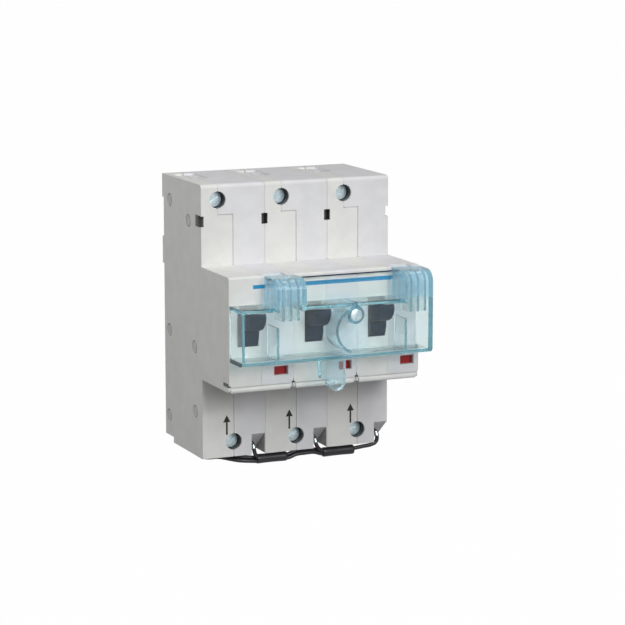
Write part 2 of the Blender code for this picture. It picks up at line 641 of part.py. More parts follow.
def bar_contact(index, centre):
    """Pad on the bar, stem, riser with the fixed contact, and the drop into the lower clamp."""
    number = index + 1
    height = bar_height(index)
    half = STRIP_WIDTH / 2
    narrow = CLAMP_STRIP_WIDTH / 2
    stem = height + STEM_RISE
    shelf = FIXED_CONTACT_BOTTOM
    top = max(stem + STRIP / 2, shelf + STRIP)
    made = add(f"bar_contact_{number}",
               box_mesh((-PAD_WIDTH / 2, -PAD_THICKNESS, -BAR_HEIGHT / 2), (PAD_WIDTH / 2, 0, BAR_HEIGHT / 2)),
               (centre, 0, height), LEVEL, COPPER)
    overlap = STRIP / 3
    spans = (
        ("stem", half, (REAR_STRIP_Y - overlap, -overlap), (stem - STRIP / 2, stem + STRIP / 2)),
        ("riser", half - overlap, (REAR_STRIP_Y - STRIP, REAR_STRIP_Y), (JOG_HEIGHT - 2 * STRIP, top)),
        ("shelf", half, (CONTACT_Y - SHELF_TIP, REAR_STRIP_Y - overlap), (shelf, shelf + STRIP)),
        ("jog", half, (LOWER_STRIP_Y - STRIP + overlap, REAR_STRIP_Y - overlap),
         (JOG_HEIGHT - overlap, JOG_HEIGHT + STRIP - overlap)),
        ("drop", narrow, (LOWER_STRIP_Y - STRIP, LOWER_STRIP_Y), (WALL + 2 * GAP, JOG_HEIGHT)),
    )
    for word, side, (front, rear), (low, high) in spans:
        joined(made, block_cutter(f"bar_{word}_{number}", (centre - side, front, low),
                                  (centre + side, rear, high)))
    joined(made, rod_cutter(f"contact_tip_{number}", CONTACT_RADIUS, (centre, CONTACT_Y, shelf),
                            STRIP / 2, STRIP + CONTACT_HEIGHT, LEVEL, 16))


def arc_chute(number, centre):
    """Splitter plates with a notched throat, held between two cheeks."""
    half = INNER_HALF - GAP
    edge, back = half - CHUTE_CHEEK / 2, CHUTE_REAR_Y - STRIP
    throat = [(-edge, CHUTE_FRONT_Y), (edge, CHUTE_FRONT_Y), (edge, back), (THROAT_HALF, back),
              (0, back - THROAT_DEPTH), (-THROAT_HALF, back), (-edge, back)]
    made = add(f"arc_chute_{number}", outline_mesh(throat, 0, CHUTE_PLATE), (centre, 0, CHUTE_BOTTOM + STRIP),
               LEVEL, CHUTE_STEEL)
    stack = made.modifiers.new("stack", "ARRAY")
    stack.count = CHUTE_PLATES
    stack.use_relative_offset = False
    stack.use_constant_offset = True
    stack.constant_offset_displace = (0, 0, CHUTE_PITCH)
    for side in (-1, 1):
        ends = sorted((side * half, side * (half - CHUTE_CHEEK)))
        joined(made, block_cutter(f"chute_cheek_{side}_{number}",
                                  (centre + ends[0], CHUTE_FRONT_Y - GAP, CHUTE_BOTTOM),
                                  (centre + ends[1], CHUTE_REAR_Y, CHUTE_TOP)))


def trip_coil(number, centre):
    """Wound coil between two square flanges that reach the casing's side walls."""
    middle = (COIL_FRONT_Y + COIL_REAR_Y) / 2
    half_depth = (COIL_FRONT_Y - COIL_REAR_Y) / -2
    first, last = COIL_FLANGE / 2, COIL_HEIGHT - COIL_FLANGE / 2
    pitch = (last - first) / COIL_TURNS
    profile = [(0, first), (COIL_RADIUS - COIL_GROOVE, first)]
    for turn in range(COIL_TURNS):
        start = first + turn * pitch
        profile += [(COIL_RADIUS, start + pitch / 2), (COIL_RADIUS - COIL_GROOVE, start + pitch)]
    profile += [(0, last)]
    made = add(f"trip_coil_{number}", turned_mesh(profile, 16), (centre, middle, COIL_BOTTOM), LEVEL, COPPER)
    for word, low in (("lower", 0), ("upper", COIL_HEIGHT - COIL_FLANGE)):
        half = INNER_HALF - GAP
        joined(made, block_cutter(f"coil_flange_{word}_{number}",
                                  (centre - half, middle - half_depth, COIL_BOTTOM + low),
                                  (centre + half, middle + half_depth, COIL_BOTTOM + low + COIL_FLANGE)))


def coil_strips(number, centre):
    """Terminal strip into the upper clamp, and the bimetal strip; both stand on the coil's flange."""
    seat = COIL_BOTTOM + COIL_HEIGHT + GAP
    middle, half = centre + UPPER_SEAM_X, CLAMP_STRIP_WIDTH / 2
    rear = UPPER_STRIP_Y
    strip = add(f"terminal_strip_{number}",
                box_mesh((-half, -STRIP, 0), (half, 0, CASE_HEIGHT - WALL - 3 * GAP - seat)),
                (middle, rear, seat), LEVEL, COPPER)
    joined(strip, block_cutter(f"strip_foot_{number}", (middle - half, rear - STRIP / 2, seat),
                               (middle + half, COIL_REAR_Y - STRIP, seat + STRIP)))
    left, right = centre + BIMETAL_LEFT, centre + BIMETAL_LEFT + BIMETAL_WIDTH
    leaf = add(f"bimetal_{number}", box_mesh((0, -BIMETAL, -BIMETAL_LENGTH), (BIMETAL_WIDTH, 0, BIMETAL)),
               (left, BIMETAL_Y, seat), LEVEL, ZINC)
    joined(leaf, block_cutter(f"bimetal_foot_{number}", (left, BIMETAL_Y - BIMETAL / 2, seat),
                              (right, COIL_REAR_Y - BIMETAL_FOOT, seat + BIMETAL)))


def terminal_screw(name, across, height, tip_y):
    """Cross recessed cheese head screw; its origin is on its axis at the head's face."""
    face = -CASE_DEPTH + SCREW_SINK
    length = tip_y - face
    head, shank = SCREW_HEAD_RADIUS, SCREW_SHANK_RADIUS
    edge = SCREW_EDGE
    profile = [(0, 0), (head - edge, 0), (head, -edge), (head, -SCREW_HEAD_LENGTH), (shank, -SCREW_HEAD_LENGTH),
               (shank, -length + edge), (shank - edge, -length), (0, -length)]
    made = add(name, turned_mesh(profile, 16), (across, face, height), FACING, ZINC)
    arm_length, arm_width, sink = SCREW_CROSS
    long_bar = add(f"{name}_slot", box_mesh((-arm_length, -arm_width, -sink), (arm_length, arm_width, sink)),
                   (across, face, height), FACING)
    short_bar = add(f"{name}_cross", box_mesh((-arm_width, -arm_length, -sink), (arm_width, arm_length, sink)),
                    (across, face, height), FACING)
    cut(made, long_bar, short_bar)


def clamp_cage(name, across, height, rear_y):
    """Cage round the cable space; its front wall is threaded on the screw. Its origin is on the screw's axis."""
    half, half_height = CLAMP_WIDTH / 2, CLAMP_HEIGHT / 2
    made = add(name, box_mesh((-half, CLAMP_FRONT_Y - rear_y, -half_height), (half, 0, half_height)),
               (across, rear_y, height), LEVEL, ZINC)
    softened(made, CLAMP_EDGE)
    window = block_cutter(f"{name}_window", (across - half + CLAMP_SIDE, CLAMP_FRONT_Y + CLAMP_FRONT, 0),
                          (across + half - CLAMP_SIDE, rear_y - CLAMP_BACK, CASE_HEIGHT))
    bore = rod_cutter(f"{name}_bore", SCREW_SHANK_RADIUS + GAP, (across, 0, height),
                      -CLAMP_FRONT_Y - CLAMP_FRONT - GAP, -CLAMP_FRONT_Y + WALL, FACING, 16)
    cut(made, window, bore)


def terminals(number, centre):
    upper = centre + UPPER_SEAM_X
    terminal_screw(f"upper_screw_{number}", upper, UPPER_SCREW_HEIGHT, UPPER_STRIP_Y - STRIP - GAP)
    clamp_cage(f"upper_clamp_{number}", upper, UPPER_SCREW_HEIGHT, UPPER_CLAMP_REAR_Y)
    terminal_screw(f"lower_screw_{number}", centre, LOWER_SCREW_HEIGHT, LOWER_STRIP_Y - STRIP - GAP)
    clamp_cage(f"lower_clamp_{number}", centre, LOWER_SCREW_HEIGHT, LOWER_CLAMP_REAR_Y)


def rivets():
    """Tie rivets right through the block, headed in the outer shells' recesses."""
    outer = POLES * HALF_POLE - GAP / 2
    head = outer - RIVET_SINK + GAP
    for order, place in enumerate(RIVETS):
        profile = [(0, -head - RIVET_HEAD), (RIVET_HEAD_RADIUS, -head - RIVET_HEAD), (RIVET_HEAD_RADIUS, -head),
                   (RIVET_RADIUS, -head), (RIVET_RADIUS, head), (RIVET_HEAD_RADIUS, head),
                   (RIVET_HEAD_RADIUS, head + RIVET_HEAD), (0, head + RIVET_HEAD)]
        add(f"tie_rivet_{order + 1}", turned_mesh(profile, 10), (0, *place), ACROSS, ZINC)


def tower_outline(inset, back):
    """Side view of a hood tower with its rounded upper front corner, open or closed at its back."""
    front, top = HOOD_FRONT_Y + inset, HOOD_TOP - inset
    start = HOOD_SHELF - 3 * HOOD_WALL - inset
    corner = (HOOD_FRONT_Y + HOOD_ROUND, HOOD_TOP - HOOD_ROUND)
    return [(back, start), (front, start)] + arc(corner, HOOD_ROUND - inset, 180, 90, 6) + [(back, top)]


def box_outline(inset):
    """Side view of the hood's long box, open at the back."""
    front, low, high = HOOD_FRONT_Y + inset, HOOD_BOTTOM + inset, HOOD_SHELF - inset
    back = HOOD_REAR_Y + (HOOD_WALL if inset else 0)
    radius = BOX_ROUND - inset
    points = [(back, low)] + arc((front + radius, low + radius), radius, 270, 180, 3)
    return points + arc((front + radius, high - radius), radius, 180, 90, 3) + [(back, high)]


def hood():
    """Clear hood: a long box with two towers, lock column, sealing tab and hinge arms, in one moulding."""
    origin = (0, *HINGE_AXIS)
    half = HOOD_WIDTH / 2
    turn_back = Matrix.Translation((-HINGE_AXIS[0], -HINGE_AXIS[1], 0))
    outer = outline_mesh(box_outline(0), -half, half)
    outer.transform(turn_back)
    made = add("hood", outer, origin, ACROSS, HOOD_CLEAR)
    for order, (left, right) in enumerate(TOWERS):
        joined(made, add(f"tower_{order + 1}", outline_mesh(tower_outline(0, HOOD_REAR_Y), left, right),
                         turn=ACROSS))
    plate_low = HOOD_SHELF - HOOD_WALL
    joined(made, block_cutter("label_plate",
                              (TOWERS[0][1] - HOOD_WALL / 2, HOOD_REAR_Y - HOOD_WALL * 0.8, plate_low),
                              (TOWERS[1][0] + HOOD_WALL / 2, HOOD_REAR_Y, HOOD_TOP - HOOD_WALL)))
    cut(made, add("hood_hollow", outline_mesh(box_outline(HOOD_WALL), -half + HOOD_WALL, half - HOOD_WALL),
                  turn=ACROSS))
    for order, (left, right) in enumerate(TOWERS):
        cut(made, add(f"tower_hollow_{order + 1}",
                      outline_mesh(tower_outline(HOOD_WALL, HOOD_REAR_Y + HOOD_WALL), left + HOOD_WALL,
                                   right - HOOD_WALL), turn=ACROSS))
    joined(made, *hood_ribs(), *lock_column(), seal_tab())
    cut(made, rod_cutter("swing_relief", SWING_RELIEF_RADIUS, (0, *HINGE_AXIS), -half - WALL, half + WALL,
                         ACROSS, 48))
    joined(made, *hinge_arms())
    bore = rod_cutter("seal_bore", SEAL_SHANK_RADIUS + GAP, (SEAL_SCREW[0], 0, SEAL_SCREW[1]),
                      -HOOD_REAR_Y - WALL, -HOOD_FRONT_Y + WALL, FACING, 16)
    sink = rod_cutter("seal_sink", SEAL_HEAD_RADIUS + GAP, (SEAL_SCREW[0], 0, SEAL_SCREW[1]),
                      -HOOD_FRONT_Y - SEAL_HEAD_SINK, -HOOD_FRONT_Y + WALL, FACING)
    wire = rod_cutter("seal_wire_hole", SEAL_WIRE_RADIUS, (SEAL_WIRE[0], 0, SEAL_WIRE[1]),
                      -HOOD_REAR_Y, -HOOD_FRONT_Y + WALL, FACING, 12)
    cut(made, bore, sink, wire)


def hood_ribs():
    """Upright ribs in the towers, and under each tower's left wall a guide rib beside the toggle."""
    ribs = []
    for order, (left, right) in enumerate(TOWERS):
        pitch = (right - left) / (TOWER_RIBS + 1)
        for step in range(TOWER_RIBS):
            middle = left + (step + 1) * pitch
            profile = tower_outline(HOOD_WALL / 2, HOOD_REAR_Y - 2 * HOOD_WALL)
            ribs.append(add(f"tower_rib_{order + 1}_{step + 1}",
                            outline_mesh(profile, middle - RIB / 2, middle + RIB / 2), turn=ACROSS))
        ribs.append(block_cutter(f"guide_rib_{order + 1}",
                                 (left + GAP, HOOD_FRONT_Y + HOOD_WALL / 2, HOOD_BOTTOM + HOOD_WALL / 2),
                                 (left + GAP + RIB, HOOD_REAR_Y - HOOD_WALL, GUIDE_TOP)))
    return ribs


def hinge_arms():
    """Arms behind the towers, each with a pin that turns in the nose's sockets."""
    arms = []
    for pole in HINGED_POLES:
        centre = POLE_CENTRES[pole]
        left, right = HINGE_NOTCH[0] + GAP, HINGE_NOTCH[1] - GAP
        depth, height = HINGE_AXIS
        arms.append(block_cutter(f"hinge_arm_{pole + 1}",
                                 (centre + left, HOOD_REAR_Y - 2 * HOOD_WALL, height - HINGE_PIN_RADIUS * 0.95),
                                 (centre + right, depth, height + HINGE_PIN_RADIUS * 0.95)))
        arms.append(rod_cutter(f"hinge_pin_{pole + 1}", HINGE_PIN_RADIUS, (centre, *HINGE_AXIS),
                               left - HINGE_SOCKET, right + HINGE_SOCKET, ACROSS, 16))
    return arms


def lock_column():
    """Screw tube, its round collar on the front, and the curved wall beside it."""
    across, height = SEAL_SCREW
    place = (across, 0, height)
    inside = -HOOD_FRONT_Y - HOOD_WALL / 2
    tube = rod_cutter("lock_tube", LOCK_TUBE_RADIUS, place, -HOOD_REAR_Y, inside, FACING)
    wall = arc((LOCK_WALL[0], LOCK_WALL[1]), LOCK_WALL[2], LOCK_WALL_START, LOCK_WALL_END, 10)
    wall += arc((LOCK_WALL[0], LOCK_WALL[1]), LOCK_WALL[2] - RIB, LOCK_WALL_END, LOCK_WALL_START, 10)
    curved = add("lock_wall", outline_mesh(wall, -HOOD_REAR_Y, inside), turn=FACING)
    return tube, curved


def seal_tab():
    """Hanging tab with a narrower rounded end and a hole for the seal wire."""
    radius = (SEAL_TAB_RIGHT - SEAL_TAB_NECK) / 2
    top = HOOD_BOTTOM + HOOD_WALL / 2
    outline = [(SEAL_TAB_RIGHT, top), (SEAL_TAB_LEFT, top), (SEAL_TAB_LEFT, SEAL_TAB_STEP + 2 * GAP),
               (SEAL_TAB_NECK, SEAL_TAB_STEP)]
    outline += arc((SEAL_TAB_NECK + radius, SEAL_TAB_BOTTOM + radius), radius, 180, 360, 8)
    return add("seal_tab", outline_mesh(outline, -HOOD_FRONT_Y - SEAL_TAB_THICKNESS, -HOOD_FRONT_Y), turn=FACING)


def seal_screw():
    """Slotted screw captive in the lock tube; its end enters the nose."""
    across, height = SEAL_SCREW
    face = HOOD_FRONT_Y + SEAL_HEAD_SINK - GAP - SEAL_HEAD
    length = -NOSE_DEPTH + SEAL_REACH - face
    edge = 0.3 * MM
    profile = [(0, 0), (SEAL_HEAD_RADIUS - edge, 0), (SEAL_HEAD_RADIUS, -edge), (SEAL_HEAD_RADIUS, -SEAL_HEAD),
               (SEAL_SHANK_RADIUS, -SEAL_HEAD), (SEAL_SHANK_RADIUS, -length), (0, -length)]
    made = add("seal_screw", turned_mesh(profile, 16), (across, face, height), FACING, ZINC)
    reach = SEAL_HEAD_RADIUS * 2
    slot = add("seal_slot", box_mesh((-reach, -SEAL_SLOT / 2, -SEAL_SLOT), (reach, SEAL_SLOT / 2, SEAL_SLOT)),
               (across, face, height), FACING @ Matrix.Rotation(SEAL_SLOT_TURN, 4, "Z"))
    cut(made, slot)


def smooth_route(points, step):
    """Points read from a smooth curve through the given ones."""
    ends = [2 * points[0] - points[1]] + points + [2 * points[-1] - points[-2]]
    route = []
    for before, start, end, after in zip(ends, ends[1:], ends[2:], ends[3:]):
        count = max(1, round((end - start).length / step))
        for index in range(count):
            share = index / count
            route.append(0.5 * (2 * start + (end - before) * share
                                + (2 * before - 5 * start + 4 * end - after) * share ** 2
                                + (3 * start - before - 3 * end + after) * share ** 3))
    return route + [points[-1]]


def lead(name, points, radius=LEAD_RADIUS, step=SHORT_STEP):
    curve = bpy.data.curves.new(name, "CURVE")
    curve.dimensions = "3D"
    curve.bevel_depth = radius
    curve.bevel_resolution = 2
    curve.use_fill_caps = True
    route = smooth_route([Vector(point) for point in points], step)
    spline = curve.splines.new("POLY")
    spline.points.add(len(route) - 1)
    for knot, place in zip(spline.points, route):
        knot.co = (*place, 1)
    add(name, mesh_of(curve), look=LEAD_BLACK)


def pocket_lead(number, centre, end):
    """From the hole in a pocket's left wall, round the lower edge, to its sleeve."""
    left = centre + POCKET_LEFT
    depth, height = LEAD_HOLE
    points = [(left - WALL + GAP, depth, height), (left + 0.3 * MM, depth, height),
              (left + 1.5 * MM, depth - 0.2 * MM, height - 0.9 * MM), (left + 2 * MM, SLEEVE_Y, height - 3 * MM)]
    lead(f"pole_lead_{number}", points + end)


def leads():
    top_y, top_z = SLEEVE_Y + POLE_PLACE[0], SLEEVE_Z + POLE_PLACE[1]
    right = RIGHT_SLEEVE[1] + GAP
    pocket_lead(3, POLE_CENTRES[2], [(POLE_CENTRES[2] + 8.6 * MM, SLEEVE_Y, -0.6 * MM),
                                     (POLE_CENTRES[2] + 6.4 * MM, SLEEVE_Y, -1.9 * MM),
                                     (right + 4 * MM, SLEEVE_Y, SLEEVE_Z), (right, SLEEVE_Y, SLEEVE_Z)])
    for number, sleeve in ((2, RIGHT_SLEEVE), (1, LEFT_SLEEVE)):
        end = sleeve[0] - GAP
        left = POLE_CENTRES[number - 1] + POCKET_LEFT
        pocket_lead(number, POLE_CENTRES[number - 1],
                    [(left + 1.9 * MM, top_y, 0.2 * MM), (end - 1.1 * MM, top_y, top_z + 0.2 * MM),
                     (end, top_y, top_z)])
    for word, (left, right) in (("right", RIGHT_SLEEVE), ("left", LEFT_SLEEVE)):
        lead(f"sleeve_{word}", [(left, SLEEVE_Y, SLEEVE_Z), (right, SLEEVE_Y, SLEEVE_Z)], SLEEVE_RADIUS,
             LONG_STEP)
    first, last = LEFT_SLEEVE[1] + GAP, RIGHT_SLEEVE[0] - GAP
    for word, (across, down), hole in (("front", FRONT_PLACE, TAIL_HOLES[0]),
                                       ("rear", REAR_PLACE, TAIL_HOLES[1])):
        depth, height = SLEEVE_Y + across, SLEEVE_Z + down
        start, end = LINK_BEND
        lead(f"link_lead_{word}", [(first, depth, height), (first + start, depth, height),
                                   (first + end, depth, height + LINK_LIFT),
                                   (last - end, depth, height + LINK_LIFT),
                                   (last - start, depth, height), (last, depth, height)])
        hole_x = POLE_CENTRES[0] + hole[0]
        lead(f"tail_lead_{word}",
             [(LEFT_SLEEVE[0] - GAP, depth, height), (LEFT_SLEEVE[0] - 5 * MM, depth, height),
              (hole_x + 7 * MM, depth + 0.6 * MM, height + 0.3 * MM),
              (hole_x + 2 * MM, depth + 3 * MM, height + 0.8 * MM),
              (hole_x + 0.3 * MM, hole[1] - 0.5 * MM, -1.2 * MM), (hole_x, hole[1], 0),
              (hole_x, hole[1], WALL + GAP)])


for pole_index, pole_centre in enumerate(POLE_CENTRES):
    pole_number = pole_index + 1
    casing(pole_index, pole_centre)
    toggle(pole_number, pole_centre)
    flag(pole_number, pole_centre)
    arm(pole_number, pole_centre)
    bar_contact(pole_index, pole_centre)
    arc_chute(pole_number, pole_centre)
    trip_coil(pole_number, pole_centre)
    coil_strips(pole_number, pole_centre)
    terminals(pole_number, pole_centre)
rivets()
hood()
seal_screw()
leads()
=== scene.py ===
"""Selective main circuit breaker, three poles: finishes, fine pieces, light and camera around the CAD frame.

Metres, +Z up, the front faces -Y. Heights given from the casing's foot are turned into frame heights by up().
"""

import math

import bmesh
import bpy
from mathutils import Matrix, Vector


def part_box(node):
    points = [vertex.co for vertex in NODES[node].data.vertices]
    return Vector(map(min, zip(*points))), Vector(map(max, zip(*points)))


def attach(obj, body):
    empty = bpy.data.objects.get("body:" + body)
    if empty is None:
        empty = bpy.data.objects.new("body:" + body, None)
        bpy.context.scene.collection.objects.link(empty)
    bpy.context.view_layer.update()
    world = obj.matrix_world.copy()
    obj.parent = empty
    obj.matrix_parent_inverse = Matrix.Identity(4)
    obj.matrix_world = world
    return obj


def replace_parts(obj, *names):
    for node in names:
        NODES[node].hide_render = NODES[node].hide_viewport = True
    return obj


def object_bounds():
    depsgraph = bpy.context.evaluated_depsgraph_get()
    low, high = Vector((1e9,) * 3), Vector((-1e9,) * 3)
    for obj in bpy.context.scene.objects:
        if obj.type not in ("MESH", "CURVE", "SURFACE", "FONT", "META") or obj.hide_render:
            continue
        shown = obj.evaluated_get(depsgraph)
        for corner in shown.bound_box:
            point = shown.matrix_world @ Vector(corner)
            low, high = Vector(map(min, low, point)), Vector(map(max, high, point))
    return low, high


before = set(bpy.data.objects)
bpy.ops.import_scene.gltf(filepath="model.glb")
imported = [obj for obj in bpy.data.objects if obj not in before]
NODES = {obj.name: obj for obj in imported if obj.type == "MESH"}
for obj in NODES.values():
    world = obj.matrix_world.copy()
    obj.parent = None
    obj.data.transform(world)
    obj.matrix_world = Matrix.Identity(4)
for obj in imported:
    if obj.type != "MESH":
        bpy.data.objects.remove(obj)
CAD_BOX = [list(corner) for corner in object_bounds()]

MM = 0.001
FOOT = -52 * MM
POLE_PITCH = 27 * MM
HALF_POLE = 13.5 * MM
POLE_CENTRES = (-POLE_PITCH, 0.0, POLE_PITCH)
CASE_FRONT = -41.5 * MM
NOSE_FRONT = -70 * MM


def up(height):
    """A height from the casing's foot as a frame height."""
    return height + FOOT


def tone(red, green, blue):
    """A screen colour, 0 to 255 each, as linear light."""
    linear = []
    for value in (red, green, blue):
        share = value / 255
        linear.append(share / 12.92 if share <= 0.04045 else ((share + 0.055) / 1.055) ** 2.4)
    return (*linear, 1.0)


class Finish:
    """A Principled finish whose patterns run on Object coordinates."""

    def __init__(self, name, **sockets):
        self.material = bpy.data.materials.new(name)
        self.material.use_nodes = True
        self.tree = self.material.node_tree
        self.shader = self.tree.nodes["Principled BSDF"]
        self.place = self.tree.nodes.new("ShaderNodeTexCoord").outputs["Object"]
        for socket, value in sockets.items():
            self.shader.inputs[socket.replace("_", " ")].default_value = value

    def node(self, kind, inputs=None, **settings):
        made = self.tree.nodes.new("ShaderNode" + kind)
        for key, value in settings.items():
            setattr(made, key, value)
        for socket, value in (inputs or {}).items():
            if isinstance(value, bpy.types.NodeSocket):
                self.tree.links.new(value, made.inputs[socket])
            else:
                made.inputs[socket].default_value = value
        return made

    def noise(self, scale, detail=2.0, roughness=0.5, stretch=None):
        place = self.place
        if stretch:
            place = self.node("Mapping", {"Vector": place, "Scale": stretch}).outputs["Vector"]
        return self.node("TexNoise", {"Vector": place, "Scale": scale, "Detail": detail,
                                      "Roughness": roughness}).outputs["Fac"]

    def ranged(self, value, low, high, out_low, out_high):
        """A value carried from one range to another, held at both ends."""
        return self.node("MapRange", {"Value": value, "From Min": low, "From Max": high,
                                      "To Min": out_low, "To Max": out_high}).outputs["Result"]

    def mixed(self, share, first, second):
        made = self.node("Mix", data_type="RGBA")
        for socket, value in (("Factor", share), ("A", first), ("B", second)):
            place = [entry for entry in made.inputs if entry.name == socket and entry.enabled][0]
            if isinstance(value, bpy.types.NodeSocket):
                self.tree.links.new(value, place)
            else:
                place.default_value = value
        return [entry for entry in made.outputs if entry.enabled][0]

    def reckoned(self, operation, *values):
        return self.node("Math", dict(enumerate(values)), operation=operation).outputs[0]

    def times(self, first, second):
        return self.reckoned("MULTIPLY", first, second)

    def axes(self):
        return self.node("SeparateXYZ", {"Vector": self.place}).outputs

    def band(self, value, low, high, edge=0.03 * MM):
        """1 between low and high, 0 outside."""
        rise = self.ranged(value, low - edge, low + edge, 0.0, 1.0)
        fall = self.ranged(value, high - edge, high + edge, 1.0, 0.0)
        return self.times(rise, fall)

    def bumped(self, height, depth, strength=1.0, normal=None):
        inputs = {"Height": height, "Strength": strength, "Distance": depth}
        if normal:
            inputs["Normal"] = normal
        return self.node("Bump", inputs).outputs["Normal"]

    def set(self, socket, value):
        self.tree.links.new(value, self.shader.inputs[socket])

    def tinted(self, pattern, first, second, low=0.3):
        """Base colour between two tones, by a pattern."""
        self.set("Base Color", self.mixed(self.ranged(pattern, low, 1 - low, 0.0, 1.0), first, second))

    def roughened(self, pattern, smoothest, roughest):
        """Roughness between two values, by a pattern."""
        self.set("Roughness", self.ranged(pattern, 0.3, 0.7, smoothest, roughest))

    def rounded(self, radius):
        """A normal that rounds the edges."""
        return self.node("Bevel", {"Radius": radius}, samples=4).outputs["Normal"]


UPPER_WELL = up(103.3 * MM)
LOWER_WELL = up(6.1 * MM)
UPPER_WELL_X = -6.3 * MM
WELL_RADIUS = 3.5 * MM
WELL_BACK = CASE_FRONT + 24 * MM
STRIPE_ACROSS = (-30.3 * MM, 37 * MM)
STRIPE_HIGH = (up(72.2 * MM), up(73.7 * MM))
NOTCH_FOOT = 92.7 * MM
NOTCH_HEAD = 97.3 * MM
EDGE_NOTCH = (up(NOTCH_FOOT), up(NOTCH_HEAD))
EDGE_NOTCH_REACH = 1.45 * MM
LIP_NOTCH = (up(34.2 * MM), up(35.7 * MM))
LIP_NOTCH_REACH = 0.95 * MM
NOTCH_DEPTH = 6 * MM
LEFT_TOWER = (-26 * MM, -13.1 * MM)
RIGHT_TOWER = (28 * MM, 40.6 * MM)
LOCK_COLUMN = (-2 * MM, 13 * MM)
COLUMN_FADE = 1.5 * MM
TOWER_FROST = (up(65.2 * MM), up(67 * MM))
COLUMN_FROST = (up(65 * MM), up(68 * MM))
TAB_FROST = (up(37.5 * MM), up(38.5 * MM))
COLUMN_SHARE = 0.38
TAB_SHARE = 0.55
SHADOW_ALPHA = 0.4


def casing_moulding(name, first, second):
    """Pale grey thermoset with a matt grain and a blue stripe on the nose. The insides of the wells and
    notches are coloured darker as painted shade.
    """
    made = Finish(name, Roughness=0.5, IOR=1.5)
    cloud = made.noise(160, 3)
    grain = made.noise(3800, 2, 0.6)
    colour = made.mixed(made.ranged(cloud, 0.35, 0.65, 0.0, 1.0), first, second)
    colour = made.mixed(made.ranged(grain, 0.6, 0.75, 0.0, 0.35), colour, tone(206, 206, 204))
    across, deep, high = made.axes()
    front = made.ranged(deep, NOSE_FRONT + 0.2 * MM, NOSE_FRONT + 0.1 * MM, 0.0, 1.0)
    stripe = made.times(made.band(high, *STRIPE_HIGH), made.times(made.band(across, *STRIPE_ACROSS), front))
    colour = made.mixed(stripe, colour, tone(22, 138, 188))
    inner = made.ranged(deep, CASE_FRONT + 0.35 * MM, CASE_FRONT + 1.2 * MM, 0.0, 1.0)
    # Painted shade: inside the terminal screw wells the casing is coloured dark grey, back to the wells' end.
    for shift, height in ((0.0, LOWER_WELL), (UPPER_WELL_X, UPPER_WELL)):
        along = made.reckoned("WRAP", across, HALF_POLE + shift, shift - HALF_POLE)
        along = made.reckoned("SUBTRACT", along, shift)
        rise = made.reckoned("SUBTRACT", high, height)
        flat = made.node("CombineXYZ", {0: along, 1: rise}).outputs[0]
        span = made.node("VectorMath", {0: flat}, operation="LENGTH").outputs["Value"]
        painted_well_shade = made.times(inner, made.ranged(span, WELL_RADIUS, WELL_RADIUS + 0.1 * MM, 1.0, 0.0))
        painted_well_shade = made.times(painted_well_shade, made.ranged(deep, WELL_BACK, WELL_BACK + 0.5 * MM, 1.0, 0.0))
        colour = made.mixed(painted_well_shade, colour, tone(52, 58, 62))
    beside = made.reckoned("SUBTRACT", made.reckoned("WRAP", across, POLE_PITCH, 0.0), HALF_POLE)
    beside = made.reckoned("ABSOLUTE", beside)
    # Painted shade: the hollows of the edge notches and lip notches are coloured dark grey.
    notches = ((CASE_FRONT, EDGE_NOTCH_REACH, EDGE_NOTCH), (NOSE_FRONT, LIP_NOTCH_REACH, LIP_NOTCH))
    for face, reach, heights in notches:
        painted_notch_shade = made.times(made.band(high, *heights), made.ranged(beside, reach, reach + 0.1 * MM, 1.0, 0.0))
        painted_notch_shade = made.times(painted_notch_shade, made.ranged(deep, face + 0.2 * MM, face + 0.9 * MM, 0.0, 1.0))
        back = face + NOTCH_DEPTH
        behind = made.ranged(deep, back, back + 0.1 * MM, 1.0, 0.0)
        colour = made.mixed(made.times(painted_notch_shade, behind), colour, tone(88, 88, 86))
    made.set("Base Color", colour)
    made.roughened(grain, 0.42, 0.58)
    made.set("Normal", made.bumped(grain, 0.02 * MM, 0.5, made.rounded(0.22 * MM)))
    return made.material


def toggle_moulding():
    """Dark blue-grey plastic, satin, with a faint grain."""
    made = Finish("toggle_moulding", Roughness=0.45, IOR=1.5, Specular_IOR_Level=0.15)
    grain = made.noise(4200, 2)
    made.tinted(made.noise(420, 2), tone(17, 37, 56), tone(25, 46, 66))
    made.roughened(grain, 0.38, 0.52)
    made.set("Normal", made.bumped(grain, 0.015 * MM, 0.4, made.rounded(0.25 * MM)))
    return made.material


def flag_moulding():
    """Signal red plastic."""
    made = Finish("flag_moulding", Roughness=0.4, IOR=1.5)
    grain = made.noise(3600, 2)
    made.tinted(grain, tone(158, 16, 26), tone(176, 24, 34))
    made.roughened(grain, 0.34, 0.48)
    return made.material


